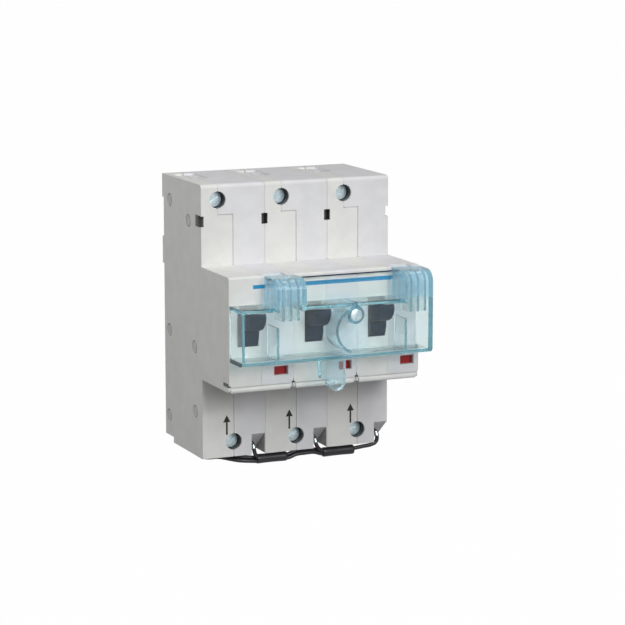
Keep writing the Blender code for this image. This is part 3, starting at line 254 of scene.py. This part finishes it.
def hood_moulding():
    """Clear plastic, faintly blue, frosted on towers, lock column and tab. Its shadow is a light one."""
    made = Finish("hood_moulding", Roughness=0.04, IOR=1.37, Transmission_Weight=0.99)
    depth = made.node("VolumeAbsorption", {"Color": (0.22, 0.76, 0.87, 1.0), "Density": 82.0}).outputs[0]
    made.tree.links.new(depth, made.tree.nodes["Material Output"].inputs["Volume"])
    ripple = made.noise(240, 2)
    made.roughened(ripple, 0.05, 0.11)
    made.set("Normal", made.bumped(ripple, 0.02 * MM, 0.25))
    across, _, high = made.axes()
    towers = made.reckoned("ADD", made.band(across, *LEFT_TOWER), made.band(across, *RIGHT_TOWER))
    towers = made.times(towers, made.ranged(high, *TOWER_FROST, 0.0, 1.0))
    tab = made.ranged(high, *TAB_FROST, TAB_SHARE, 0.0)
    column = made.band(across, *LOCK_COLUMN, edge=COLUMN_FADE)
    column = made.times(column, made.ranged(high, *COLUMN_FROST, COLUMN_SHARE, 0.0))
    frost = made.reckoned("MAXIMUM", made.reckoned("MAXIMUM", towers, tab), column)
    frost = made.times(frost, made.ranged(made.noise(620, 3, 0.6), 0.4, 0.62, 0.55, 1.25))
    made.set("Transmission Weight", made.ranged(frost, 0.0, 1.0, 0.99, 0.8))
    made.set("Base Color", made.mixed(frost, tone(248, 248, 247), tone(222, 243, 252)))
    shadow = made.node("LightPath").outputs["Is Shadow Ray"]
    made.set("Alpha", made.ranged(shadow, 0.0, 1.0, 1.0, SHADOW_ALPHA))
    return made.material


def zinc_plating():
    """Steel with bright zinc plating, faintly blue, a little cloudy."""
    made = Finish("zinc_plating", Metallic=1.0, Roughness=0.3)
    cloud = made.noise(700, 3, 0.6)
    made.tinted(cloud, tone(190, 206, 214), tone(214, 226, 230))
    made.roughened(cloud, 0.18, 0.32)
    made.set("Normal", made.bumped(made.noise(5200, 2), 0.01 * MM, 0.35))
    return made.material


def dull_zinc():
    """Plated screw heads down in their wells, pale blue-grey and satin."""
    made = Finish("dull_zinc", Metallic=0.5, Roughness=0.4, IOR=1.5)
    cloud = made.noise(900, 3, 0.6)
    made.tinted(cloud, tone(198, 226, 235), tone(238, 247, 250), low=0.35)
    made.roughened(cloud, 0.32, 0.46)
    return made.material


def rivet_steel():
    """Rivet ends, grey and dull, painted over like the casing."""
    made = Finish("rivet_steel", Metallic=0.1, Roughness=0.55)
    fine = made.noise(2400, 3)
    made.tinted(fine, tone(192, 192, 192), tone(200, 200, 200))
    made.roughened(fine, 0.45, 0.6)
    return made.material


def bare_copper():
    """Copper, lightly tarnished in clouds."""
    made = Finish("bare_copper", Metallic=1.0, Roughness=0.32)
    cloud = made.noise(300, 4, 0.6)
    made.tinted(cloud, tone(206, 134, 100), tone(178, 104, 76), low=0.35)
    made.roughened(cloud, 0.22, 0.42)
    made.set("Normal", made.bumped(made.noise(2600, 2, 0.5, (1.0, 1.0, 0.15)), 0.01 * MM, 0.3))
    return made.material


def chute_plating():
    """Dull nickel-plated steel."""
    made = Finish("chute_plating", Metallic=0.9, Roughness=0.45)
    fine = made.noise(1800, 3)
    made.tinted(fine, tone(150, 152, 155), tone(172, 174, 176))
    made.roughened(fine, 0.36, 0.52)
    return made.material


def lead_sheath():
    """Black soft plastic sheath, satin."""
    made = Finish("lead_sheath", Roughness=0.34, IOR=1.5)
    fine = made.noise(2600, 3)
    made.tinted(fine, tone(30, 29, 33), tone(42, 41, 47))
    made.roughened(fine, 0.28, 0.42)
    made.set("Normal", made.bumped(fine, 0.02 * MM, 0.3))
    return made.material


def print_black():
    """Matt black print."""
    made = Finish("print_black", Roughness=0.6)
    made.tinted(made.noise(3000, 2), tone(10, 10, 11), tone(18, 18, 19))
    return made.material


WARM_CASING = casing_moulding("casing_moulding_warm", tone(220, 220, 217), tone(226, 226, 223))
COOL_CASING = casing_moulding("casing_moulding_cool", tone(217, 217, 219), tone(223, 223, 225))
TOGGLE = toggle_moulding()
FLAG = flag_moulding()
HOOD = hood_moulding()
ZINC = zinc_plating()
DULL_ZINC = dull_zinc()
RIVET = rivet_steel()
COPPER = bare_copper()
CHUTE = chute_plating()
SHEATH = lead_sheath()
PRINT = print_black()

FINISHES = {
    "shell_left": WARM_CASING,
    "shell_right": COOL_CASING,
    "toggle": TOGGLE,
    "flag": FLAG,
    "hood": HOOD,
    "seal_screw": ZINC,
    "upper_screw": ZINC,
    "lower_screw": ZINC,
    "upper_clamp": ZINC,
    "lower_clamp": ZINC,
    "tie_rivet": RIVET,
    "moving_contact": COPPER,
    "bar_contact": COPPER,
    "terminal_strip": COPPER,
    "pole_lead": SHEATH,
    "link_lead": SHEATH,
    "tail_lead": SHEATH,
    "sleeve": SHEATH,
    "bimetal": CHUTE,
    "arc_chute": CHUTE,
    "trip_coil": COPPER,
}

for name, node in NODES.items():
    look = next(value for key, value in FINISHES.items() if name.startswith(key))
    node.data.materials.clear()
    node.data.materials.append(look)


def linked(name, mesh, look, body):
    """A finished piece, its place in its mesh, riding on a body and taking a material slot."""
    mesh.name = name
    mesh.materials.clear()
    mesh.materials.append(look)
    made = bpy.data.objects.new(name, mesh)
    bpy.context.scene.collection.objects.link(made)
    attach(made, body)
    return made


def smoothed(mesh, angle):
    mesh.shade_smooth()
    mesh.set_sharp_from_angle(angle=math.radians(angle))
    return mesh


def holding(data):
    """A passing object that holds data until its plain mesh is taken."""
    holder = bpy.data.objects.new("holder", data)
    bpy.context.scene.collection.objects.link(holder)
    return holder


def taken(holder):
    """The plain mesh that a passing object comes to. The object is removed."""
    bpy.context.view_layer.update()
    seen = holder.evaluated_get(bpy.context.evaluated_depsgraph_get())
    mesh = bpy.data.meshes.new_from_object(seen)
    bpy.data.objects.remove(holder)
    return mesh


def plain_mesh(shape, name):
    """The mesh of a bmesh, which is freed."""
    mesh = bpy.data.meshes.new(name)
    shape.to_mesh(mesh)
    shape.free()
    return mesh


def closed_mesh(shape, name):
    """The mesh of a closed bmesh, its faces turned outward."""
    bmesh.ops.recalc_face_normals(shape, faces=shape.faces)
    return plain_mesh(shape, name)


def bridged(shape, rings):
    """A closed skin: each ring of corners joined to the next, both ends capped."""
    for first, second in zip(rings, rings[1:]):
        for corner in range(len(first)):
            after = (corner + 1) % len(first)
            shape.faces.new((first[corner], first[after], second[after], second[corner]))
    shape.faces.new(rings[0])
    shape.faces.new(rings[-1])


def applied(mesh, *modifiers):
    """The mesh with modifiers applied, each given as (type, settings)."""
    holder = holding(mesh)
    for kind, settings in modifiers:
        made = holder.modifiers.new(kind.lower(), kind)
        for key, value in settings.items():
            setattr(made, key, value)
    return taken(holder)


def welded_copy(name):
    """A copy of a CAD node's mesh with its doubles merged."""
    shape = bmesh.new()
    shape.from_mesh(NODES[name].data)
    bmesh.ops.remove_doubles(shape, verts=shape.verts, dist=0.002 * MM)
    return plain_mesh(shape, name)


def eased(name, width, look):
    """A CAD node's shape with its edges rounded."""
    bevel = ("BEVEL", {"width": width, "segments": 3, "limit_method": "ANGLE",
                       "angle_limit": math.radians(40), "miter_outer": "MITER_ARC"})
    even = ("WEIGHTED_NORMAL", {"mode": "FACE_AREA", "weight": 100, "keep_sharp": True})
    mesh = welded_copy(name)
    mesh.shade_smooth()
    made = linked(name + "_moulded", applied(mesh, bevel, even), look, name)
    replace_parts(made, name)


class Growth:
    """A geometry tree with named inputs, applied once to make a plain mesh."""

    def __init__(self, name, **sizes):
        self.tree = bpy.data.node_groups.new(name, "GeometryNodeTree")
        self.sizes = sizes
        for size in sizes:
            self.tree.interface.new_socket(size.replace("_", " "), in_out="INPUT",
                                           socket_type="NodeSocketFloat")
        self.tree.interface.new_socket("Geometry", in_out="OUTPUT", socket_type="NodeSocketGeometry")
        self.entry = self.tree.nodes.new("NodeGroupInput")
        self.exit = self.tree.nodes.new("NodeGroupOutput")

    def size(self, name):
        return self.entry.outputs[name]

    def node(self, kind, inputs=None, **settings):
        made = self.tree.nodes.new(kind)
        for key, value in settings.items():
            setattr(made, key, value)
        for socket, value in (inputs or {}).items():
            for each in value if isinstance(value, list) else [value]:
                if isinstance(each, bpy.types.NodeSocket):
                    self.tree.links.new(each, made.inputs[socket])
                else:
                    made.inputs[socket].default_value = each
        return made

    def reckon(self, operation, first, second):
        return self.node("ShaderNodeMath", {0: first, 1: second}, operation=operation).outputs[0]

    def triple(self, across, deep, high):
        return self.node("ShaderNodeCombineXYZ", {0: across, 1: deep, 2: high}).outputs[0]

    def lifted(self, geometry, height):
        return self.node("GeometryNodeTransform", {"Geometry": geometry,
                                                   "Translation": self.triple(0.0, 0.0, height)}).outputs[0]

    def finished(self, geometry, look):
        whole = self.node("GeometryNodeRealizeInstances", {"Geometry": geometry}).outputs[0]
        dressed = self.node("GeometryNodeSetMaterial", {"Geometry": whole, "Material": look}).outputs[0]
        self.tree.links.new(dressed, self.exit.inputs["Geometry"])

    def grown(self, **changes):
        """The mesh that the tree makes with these sizes."""
        holder = holding(bpy.data.meshes.new("holder"))
        modifier = holder.modifiers.new("growth", "NODES")
        modifier.node_group = self.tree
        for size, value in {**self.sizes, **changes}.items():
            entry = next(item for item in self.tree.interface.items_tree
                         if item.name == size.replace("_", " ") and item.in_out == "INPUT")
            modifier[entry.identifier] = value
        return taken(holder)


SLOT_REACH = 2.6
THREAD_SHARE = 0.9
THREAD_RIDGE = 0.14 * MM
DOME_POWER = 4.0


def screw_tree(look):
    """A domed screw head with slots, a shank and a fine thread, its head towards +Z, its face at 0."""
    tree = Growth("slotted_screw", Head_Radius=3.1 * MM, Head_Length=2.4 * MM, Dome=0.35 * MM,
                  Slot_Width=0.8 * MM, Slot_Depth=1.0 * MM, Cross_Width=0.8 * MM, Cross_Reach=1.35,
                  Shank_Radius=2.2 * MM, Length=15 * MM, Turn=0.0, Thread_Turns=12.0)
    radius, length = tree.size("Head Radius"), tree.size("Head Length")
    head = tree.node("GeometryNodeMeshCylinder", {"Vertices": 64, "Side Segments": 6, "Fill Segments": 6,
                                                  "Radius": radius, "Depth": length}).outputs["Mesh"]
    place = tree.node("GeometryNodeInputPosition").outputs[0]
    parts = tree.node("ShaderNodeSeparateXYZ", {0: place}).outputs
    flat = tree.triple(parts[0], parts[1], 0.0)
    span = tree.node("ShaderNodeVectorMath", {0: flat}, operation="LENGTH").outputs[1]
    fall = tree.reckon("POWER", tree.reckon("DIVIDE", span, radius), DOME_POWER)
    rise = tree.reckon("DIVIDE", tree.reckon("ADD", parts[2], tree.reckon("MULTIPLY", length, 0.5)), length)
    drop = tree.reckon("MULTIPLY", tree.reckon("MULTIPLY", fall, rise), tree.size("Dome"))
    drop = tree.triple(0.0, 0.0, tree.reckon("MULTIPLY", drop, -1.0))
    head = tree.node("GeometryNodeSetPosition", {"Geometry": head, "Offset": drop}).outputs[0]
    head = tree.lifted(head, tree.reckon("MULTIPLY", length, -0.5))
    reach = tree.reckon("MULTIPLY", radius, SLOT_REACH)
    short = tree.reckon("MULTIPLY", radius, tree.size("Cross Reach"))
    deep = tree.reckon("MULTIPLY", tree.size("Slot Depth"), 2.0)
    slot = tree.triple(tree.size("Slot Width"), reach, deep)
    cross = tree.triple(short, tree.size("Cross Width"), deep)
    cutters = [tree.node("GeometryNodeMeshCube", {"Size": size}).outputs[0] for size in (slot, cross)]
    head = tree.node("GeometryNodeMeshBoolean", {0: head, 1: cutters}, operation="DIFFERENCE").outputs[0]
    depth = tree.reckon("SUBTRACT", tree.size("Length"), length)
    shank = tree.node("GeometryNodeMeshCylinder", {"Vertices": 32, "Radius": tree.size("Shank Radius"),
                                                   "Depth": depth}).outputs["Mesh"]
    back = tree.reckon("MULTIPLY", tree.reckon("ADD", length, tree.reckon("MULTIPLY", depth, 0.5)), -1.0)
    shank = tree.lifted(shank, back)
    around = tree.size("Shank Radius")
    turns = tree.node("GeometryNodeCurveSpiral", {
        "Resolution": 20, "Rotations": tree.size("Thread Turns"),
        "Start Radius": around, "End Radius": around,
        "Height": tree.reckon("MULTIPLY", depth, THREAD_SHARE)}).outputs[0]
    circle = {"Resolution": 4, "Radius": THREAD_RIDGE}
    ridge = tree.node("GeometryNodeCurvePrimitiveCircle", circle).outputs[0]
    thread = tree.node("GeometryNodeCurveToMesh", {"Curve": turns, "Profile Curve": ridge,
                                                   "Fill Caps": True}).outputs[0]
    foot = tree.reckon("ADD", length, tree.reckon("MULTIPLY", depth, (1 + THREAD_SHARE) / 2))
    thread = tree.lifted(thread, tree.reckon("MULTIPLY", foot, -1.0))
    whole = tree.node("GeometryNodeJoinGeometry", {0: [head, shank, thread]}).outputs[0]
    turn = tree.triple(0.0, 0.0, tree.size("Turn"))
    turned = tree.node("GeometryNodeTransform", {"Geometry": whole, "Rotation": turn}).outputs[0]
    tree.finished(turned, look)
    return tree


SCREW = screw_tree(DULL_ZINC)
FACING = Matrix.Rotation(math.radians(90), 4, "X")


def fine_screw(name, **sizes):
    """A screw from the frame made again with a domed head, slots and thread."""
    low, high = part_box(name)
    radius = (high[0] - low[0]) / 2
    place = ((low[0] + high[0]) / 2, low[1], (low[2] + high[2]) / 2)
    mesh = SCREW.grown(Head_Radius=radius, Length=high[1] - low[1], **sizes)
    mesh.transform(Matrix.Translation(place) @ FACING)
    made = linked(name + "_turned", smoothed(mesh, 32), DULL_ZINC, name)
    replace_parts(made, name)


SCREW_TURNS = {"upper_screw_1": 0.6, "upper_screw_2": 0.1, "upper_screw_3": 1.1,
               "lower_screw_1": 0.9, "lower_screw_2": 0.35, "lower_screw_3": 0.2}
TERMINAL_HEAD = {"Slot_Width": 0.6 * MM, "Cross_Width": 0.6 * MM, "Slot_Depth": 0.5 * MM, "Dome": 0.12 * MM}
SEAL_HEAD = {"Head_Length": 1.6 * MM, "Shank_Radius": 1.5 * MM, "Dome": 0.35 * MM, "Slot_Width": 1.0 * MM,
             "Slot_Depth": 1.1 * MM, "Cross_Width": 0.4 * MM, "Cross_Reach": 0.2, "Turn": math.radians(-28)}
for screw, turn in SCREW_TURNS.items():
    fine_screw(screw, Turn=turn, **TERMINAL_HEAD)
fine_screw("seal_screw", **SEAL_HEAD)

eased("hood", 0.25 * MM, HOOD)
for number in (1, 2, 3):
    eased(f"toggle_{number}", 0.3 * MM, TOGGLE)

LEADS = {
    "tail_lead_front": ((-16.2, -40.41, -3.2), (-19.5, -40.3, -2.85), (-24, -39.4, -2.4),
                        (-27.5, -37.6, -1.8), (-30, -35.9, -1.35), (-32, -35.3, -1.1), (-35, -35.0, -1.1),
                        (-36.5, -34.2, -0.9), (-36.6, -33.6, 0.2), (-36.6, -33.6, 2.1)),
    "tail_lead_rear": ((-16.2, -39.06, -2.06), (-19.5, -38.8, -1.7), (-23, -38.2, -1.35), (-27, -36.2, -1.1),
                       (-30, -33.9, -1.1), (-32.6, -33.5, -1.0), (-33.6, -33.6, 0.2), (-33.6, -33.6, 2.1)),
    "link_lead_front": ((-4.6, -40.41, -3.0), (-2.6, -40.41, -2.9), (0.3, -40.5, -1.95), (4, -40.5, -1.75),
                        (8.3, -40.5, -1.8), (11, -40.41, -2.6), (12.9, -40.41, -3.0)),
    "link_lead_rear": ((-4.6, -39.06, -2.06), (-2.6, -39.06, -1.9), (0.3, -39.2, -0.95), (4, -39.2, -0.85),
                       (8.3, -39.2, -0.9), (11, -39.06, -1.8), (12.9, -39.06, -2.06)),
    "pole_lead_1": ((-20.8, -39.2, 5.0), (-19.2, -39.2, 4.9), (-18.3, -39.7, 3.9), (-18.0, -40.4, 1.8),
                    (-17.5, -40.7, -0.2), (-16.6, -40.7, -1.4), (-15.6, -40.7, -1.6)),
    "pole_lead_2": ((6.2, -39.2, 5.0), (7.8, -39.2, 4.9), (8.7, -39.7, 3.9), (9.1, -40.4, 1.8),
                    (10.0, -40.7, -0.2), (11.6, -40.7, -1.4), (13.0, -40.7, -1.6)),
    "pole_lead_3": ((33.2, -39.2, 5.0), (34.9, -39.2, 5.0), (36.1, -39.5, 4.1), (36.5, -40.3, 2.0),
                    (35.9, -40.4, -0.1), (33.8, -40.4, -1.05), (30, -40.3, -1.5),
                    (26.5, -40.2, -1.9), (25.2, -40.1, -2.0)),
}
LEAD_RADIUS = 0.82 * MM
CRIMPS = {
    "crimp_1": ((-18.2, -39.85, 3.5), (-18.05, -40.3, 2.1)),
    "crimp_2": ((8.8, -39.85, 3.5), (9.05, -40.3, 2.1)),
    "crimp_3": ((36.2, -39.6, 3.9), (36.5, -40.2, 2.4)),
}
CRIMP_RADIUS = 0.98 * MM


def round_run(name, places, radius, look):
    """A round run through places, in millimetres, with its ends closed."""
    curve = bpy.data.curves.new(name, "CURVE")
    curve.dimensions = "3D"
    curve.bevel_depth = radius
    curve.bevel_resolution = 5
    curve.resolution_u = 8
    curve.use_fill_caps = True
    spline = curve.splines.new("BEZIER")
    spline.bezier_points.add(len(places) - 1)
    for knot, (across, deep, height) in zip(spline.bezier_points, places):
        knot.co = (across * MM, deep * MM, up(height * MM))
        knot.handle_left_type = knot.handle_right_type = "AUTO"
    return linked(name, smoothed(taken(holding(curve)), 60), look, "casing")


for run, places in LEADS.items():
    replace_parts(round_run(run + "_sheath", places, LEAD_RADIUS, SHEATH), run)
for run, places in CRIMPS.items():
    round_run(run, places, CRIMP_RADIUS, ZINC)

SLEEVE_SIDES = 40
SLEEVE_OVER = 0.03 * MM
# Share of the length and share of the radius
SLEEVE_PROFILE = ((0.0, 0.86), (0.0, 0.93), (0.02, 0.99), (0.05, 1.0), (0.12, 1.0), (0.3, 0.97), (0.5, 0.96),
                  (0.7, 0.97), (0.88, 1.0), (0.95, 1.0), (0.98, 0.99), (1.0, 0.93), (1.0, 0.86))


def fine_sleeve(name):
    """A shrink sleeve, round, with softened ends, pulled in a little between them."""
    low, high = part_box(name)
    radius = (high[2] - low[2]) / 2 + SLEEVE_OVER
    deep, tall = (low[1] + high[1]) / 2, (low[2] + high[2]) / 2
    length = high[0] - low[0]
    angles = [math.tau * side / SLEEVE_SIDES for side in range(SLEEVE_SIDES)]
    shape = bmesh.new()
    rings = [[shape.verts.new((low[0] + along * length, deep + radius * share * math.cos(angle),
                               tall + radius * share * math.sin(angle))) for angle in angles]
             for along, share in SLEEVE_PROFILE]
    bridged(shape, rings)
    mesh = smoothed(closed_mesh(shape, name), 40)
    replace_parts(linked(name + "_shrunk", mesh, SHEATH, "casing"), name)


fine_sleeve("sleeve_left")
fine_sleeve("sleeve_right")

ARROW_X = -3.05 * MM
ARROW_BOTTOM = 9.1 * MM
ARROW_TOP = 17.1 * MM
ARROW_HEAD = 3.1 * MM
ARROW_HEAD_LENGTH = 2.9 * MM
ARROW_SHAFT = 0.75 * MM
PRINT_THICKNESS = 0.02 * MM


def arrow_prints():
    """An upward arrow printed beside each lower seam."""
    shape = bmesh.new()
    neck = ARROW_TOP - ARROW_HEAD_LENGTH
    shaft = ((-ARROW_SHAFT / 2, ARROW_BOTTOM), (ARROW_SHAFT / 2, ARROW_BOTTOM), (ARROW_SHAFT / 2, neck),
             (-ARROW_SHAFT / 2, neck))
    head = ((-ARROW_HEAD / 2, neck), (ARROW_HEAD / 2, neck), (0, ARROW_TOP))
    face_y = CASE_FRONT - PRINT_THICKNESS
    for centre in POLE_CENTRES:
        for outline in (shaft, head):
            shape.faces.new([shape.verts.new((centre + ARROW_X + across, face_y, up(height)))
                             for across, height in outline])
    shape.normal_update()
    for face in shape.faces:
        if face.normal.y > 0:
            face.normal_flip()
    linked("arrow_prints", plain_mesh(shape, "arrows"), PRINT, "casing")


arrow_prints()

SEAM_FILL = 0.27 * MM
SEAM_DEPTH = 0.9 * MM
FAINT = 0.06 * MM
DARK = 0.28 * MM
FLUSH = 0.01 * MM
CASE_TOP = 109.5 * MM
CASE_ROUND = 1.4 * MM
NOSE_TOP = 77.2 * MM
NOSE_ROUND = 0.9 * MM
SEAM_STEP = 97.4 * MM
FOOT_EDGE = 0.3 * MM
UNDER_NOSE = 31.9 * MM
ABOVE_NOSE = 77.4 * MM
NOSE_BACK = CASE_FRONT - 0.1 * MM
TOP_BACK = -1.5 * MM
ENTRY_FRONT = -20.8 * MM
LOWER_WELL_EDGES = (2.5 * MM, 9.7 * MM)
UPPER_WELL_EDGES = (99.7 * MM, 106.9 * MM)
INTO = Vector((0, 1, 0))
DOWN = Vector((0, 0, -1))
SIDEWAYS = Vector((1, 0, 0))
UPRIGHT = Vector((0, 0, 1))


def lip_run(shape, path, sink, side=SIDEWAYS):
    """A thin mating lip along a joint, sunk below the surface, from places and the way into the casing."""
    rings = []
    for (across, deep, height), inward in path:
        place = Vector((across, deep, up(height)))
        rings.append([shape.verts.new(place + inward * depth + side * way * SEAM_FILL / 2)
                      for depth, way in ((sink, -1), (sink, 1), (SEAM_DEPTH, 1), (SEAM_DEPTH, -1))])
    bridged(shape, rings)


def climb(across, deep, low, high):
    return [((across, deep, low), INTO), ((across, deep, high), INTO)]


def over_edge(across, face, low, top, radius, back):
    """Up a front face from low, round its top edge and back along the top."""
    bend = radius * (1 - math.sqrt(0.5))
    return [((across, face, low), INTO), ((across, face, top - radius), INTO),
            ((across, face + bend, top - bend), (INTO + DOWN).normalized()),
            ((across, face + radius, top), DOWN), ((across, back, top), DOWN)]


def seam_lips():
    """Mating lips in the joints between poles and between half shells."""
    shape = bmesh.new()
    for joint in (-HALF_POLE, HALF_POLE):
        lip_run(shape, climb(joint, CASE_FRONT, FOOT_EDGE, UNDER_NOSE), FAINT)
        lip_run(shape, over_edge(joint, NOSE_FRONT, 36 * MM, NOSE_TOP, NOSE_ROUND, NOSE_BACK), FAINT)
        lip_run(shape, climb(joint, CASE_FRONT, ABOVE_NOSE, NOTCH_FOOT), FAINT)
        lip_run(shape, over_edge(joint, CASE_FRONT, NOTCH_HEAD, CASE_TOP, CASE_ROUND, TOP_BACK), FAINT)
    for centre in POLE_CENTRES:
        side = centre + UPPER_WELL_X
        step = [((centre, CASE_FRONT, SEAM_STEP), INTO), ((side, CASE_FRONT, SEAM_STEP), INTO)]
        lip_run(shape, climb(centre, CASE_FRONT, FOOT_EDGE, LOWER_WELL_EDGES[0]), DARK)
        lip_run(shape, climb(centre, CASE_FRONT, LOWER_WELL_EDGES[1], UNDER_NOSE), DARK)
        lip_run(shape, climb(centre, NOSE_FRONT + 0.6 * MM, 34.15 * MM, 34.3 * MM), FLUSH)
        lip_run(shape, over_edge(centre, NOSE_FRONT, 34.5 * MM, NOSE_TOP, NOSE_ROUND, NOSE_BACK), FLUSH)
        lip_run(shape, climb(centre, CASE_FRONT, ABOVE_NOSE, SEAM_STEP), DARK)
        lip_run(shape, step, DARK, UPRIGHT)
        lip_run(shape, climb(side, CASE_FRONT, SEAM_STEP + 0.2 * MM, UPPER_WELL_EDGES[0]), FLUSH)
        above = over_edge(side, CASE_FRONT, UPPER_WELL_EDGES[1], CASE_TOP, CASE_ROUND, ENTRY_FRONT)
        lip_run(shape, above, FLUSH)
    linked("seam_lips", closed_mesh(shape, "seam_lips"), WARM_CASING, "casing")


STRIP_STEPS = 10
# Places across the pole and share of the bead's full section
BEAD_STATIONS = ((-12.5 * MM, 0.6), (-12.3 * MM, 1.0), (12.3 * MM, 1.0), (12.5 * MM, 0.6))
BEAD_BACK = NOSE_FRONT + 0.75 * MM
BEAD_SWELL = 0.7 * MM
BEAD_HEIGHT = 33.0 * MM
BEAD_HALF_HEIGHT = 1.1 * MM


def lip_beads():
    """The rounded bead along the nose's lower edge, broken at the poles' joints."""
    shape = bmesh.new()
    angles = [math.pi * step / STRIP_STEPS - math.pi / 2 for step in range(STRIP_STEPS + 1)]
    for centre in POLE_CENTRES:
        bridged(shape, [[shape.verts.new((centre + across, BEAD_BACK - BEAD_SWELL * share * math.cos(angle),
                                          up(BEAD_HEIGHT) + BEAD_HALF_HEIGHT * share * math.sin(angle)))
                         for angle in angles] for across, share in BEAD_STATIONS])
    mesh = smoothed(closed_mesh(shape, "lip_beads"), 50)
    linked("lip_beads", mesh, WARM_CASING, "casing")


# Places across the hood and share of the strip's full section
PLATE_STATIONS = ((-21.5 * MM, 0.5), (-21.2 * MM, 1.0), (33.7 * MM, 1.0), (34 * MM, 0.5))
PLATE_FACE = -70.9 * MM
PLATE_HALF_DEPTH = 0.45 * MM
PLATE_HEIGHT = 75.7 * MM
PLATE_HALF_HEIGHT = 0.22 * MM


def plate_edge_shade_strip():
    """A thin dark rounded strip along the hood's upper edge, as painted shade: a dark piece where the clear
    plate's top edge only looks dark.
    """
    shape = bmesh.new()
    angles = [math.tau * step / STRIP_STEPS for step in range(STRIP_STEPS)]
    bridged(shape, [[shape.verts.new((across, PLATE_FACE + PLATE_HALF_DEPTH * share * math.cos(angle),
                                      up(PLATE_HEIGHT) + PLATE_HALF_HEIGHT * share * math.sin(angle)))
                     for angle in angles] for across, share in PLATE_STATIONS])
    linked("plate_edge_shade_strip", smoothed(closed_mesh(shape, "plate_edge_shade_strip"), 50), TOGGLE, "hood")


seam_lips()
lip_beads()
plate_edge_shade_strip()

# Floor and backdrop in one sweep, white to the camera and keeping the shadow
FLOOR_HEIGHT = CAD_BOX[0][2] - 0.1 * MM


GLOSSY_SHARE = 0.6
WHITE_SHARE = 0.99


def studio_white():
    """Plain white to the camera, to reflections in part and through the hood; pale matt to the light."""
    made = Finish("studio_white", Roughness=0.9, Base_Color=(0.25, 0.25, 0.25, 1.0), Specular_IOR_Level=0.0)
    seen = made.node("LightPath").outputs
    share = made.reckoned("MAXIMUM", seen["Is Camera Ray"], made.times(seen["Is Glossy Ray"], GLOSSY_SHARE))
    share = made.times(made.reckoned("MAXIMUM", share, seen["Is Transmission Ray"]), WHITE_SHARE)
    glow = made.node("Emission", {"Color": (1, 1, 1, 1), "Strength": 1.0}).outputs[0]
    mix = made.node("MixShader", {0: share, 1: made.shader.outputs[0], 2: glow}).outputs[0]
    made.tree.links.new(mix, made.tree.nodes["Material Output"].inputs["Surface"])
    return made.material


FLOOR_FRONT = -2.0
CURVE_START = 0.8
CURVE_RADIUS = 0.6
CURVE_STEPS = 12
BACKDROP_TOP = 2.4
SWEEP_HALF_WIDTH = 2.5


def sweep():
    """A floor that rises into a backdrop through a wide curve."""
    profile = [(FLOOR_FRONT, 0.0), (CURVE_START, 0.0)]
    for step in range(1, CURVE_STEPS + 1):
        angle = math.radians(90 * step / CURVE_STEPS)
        profile.append((CURVE_START + CURVE_RADIUS * math.sin(angle),
                        CURVE_RADIUS - CURVE_RADIUS * math.cos(angle)))
    profile.append((CURVE_START + CURVE_RADIUS, BACKDROP_TOP))
    shape = bmesh.new()
    sides = (-SWEEP_HALF_WIDTH, SWEEP_HALF_WIDTH)
    rows = [[shape.verts.new((side, deep, FLOOR_HEIGHT + high)) for side in sides] for deep, high in profile]
    for first, second in zip(rows, rows[1:]):
        shape.faces.new((first[0], first[1], second[1], second[0]))
    mesh = plain_mesh(shape, "sweep")
    mesh.shade_smooth()
    mesh.materials.append(studio_white())
    made = bpy.data.objects.new("sweep", mesh)
    bpy.context.scene.collection.objects.link(made)


sweep()


# Place, target, width and depth, watts
LAMPS = {
    "key": ((0.12, -0.98, 0.7), (0, -0.04, 0), (0.7, 0.7), 6.1),
    "side": ((-0.52, -0.1, 0.55), (0, -0.04, 0.02), (0.3, 0.3), 2.3),
    "fill": ((0.04, -0.94, 0.3), (0, -0.04, -0.03), (0.4, 0.3), 2.6),
}


def lamp(name, place, target, size, watts):
    data = bpy.data.lights.new(name, "AREA")
    data.shape = "RECTANGLE"
    data.size, data.size_y = size
    data.energy = watts
    made = bpy.data.objects.new(name, data)
    made.location = place
    made.rotation_euler = (Vector(target) - Vector(place)).to_track_quat("-Z", "Y").to_euler()
    bpy.context.scene.collection.objects.link(made)


for lamp_name, setting in LAMPS.items():
    lamp(lamp_name, *setting)

SKY_STRENGTH = 0.18
world = bpy.data.worlds.new("studio")
world.use_nodes = True
background = world.node_tree.nodes["Background"]
background.inputs["Color"].default_value = (1, 1, 1, 1)
background.inputs["Strength"].default_value = SKY_STRENGTH
bpy.context.scene.world = world

CAMERA_PLACE = (-0.38761, -0.93593, 0.17794)
CAMERA_DOWN = 10.099
CAMERA_TURN = -23.815
CAMERA_LENS = 142.93

view = bpy.data.cameras.new("photo_view")
view.sensor_width = 36
view.lens = CAMERA_LENS
view.clip_start = 0.05
view.clip_end = 20
camera = bpy.data.objects.new("photo_view", view)
camera.location = CAMERA_PLACE
camera.rotation_euler = (math.radians(90 - CAMERA_DOWN), 0, math.radians(CAMERA_TURN))
bpy.context.scene.collection.objects.link(camera)
bpy.context.scene.camera = camera
bpy.context.scene.view_settings.view_transform = "Standard"
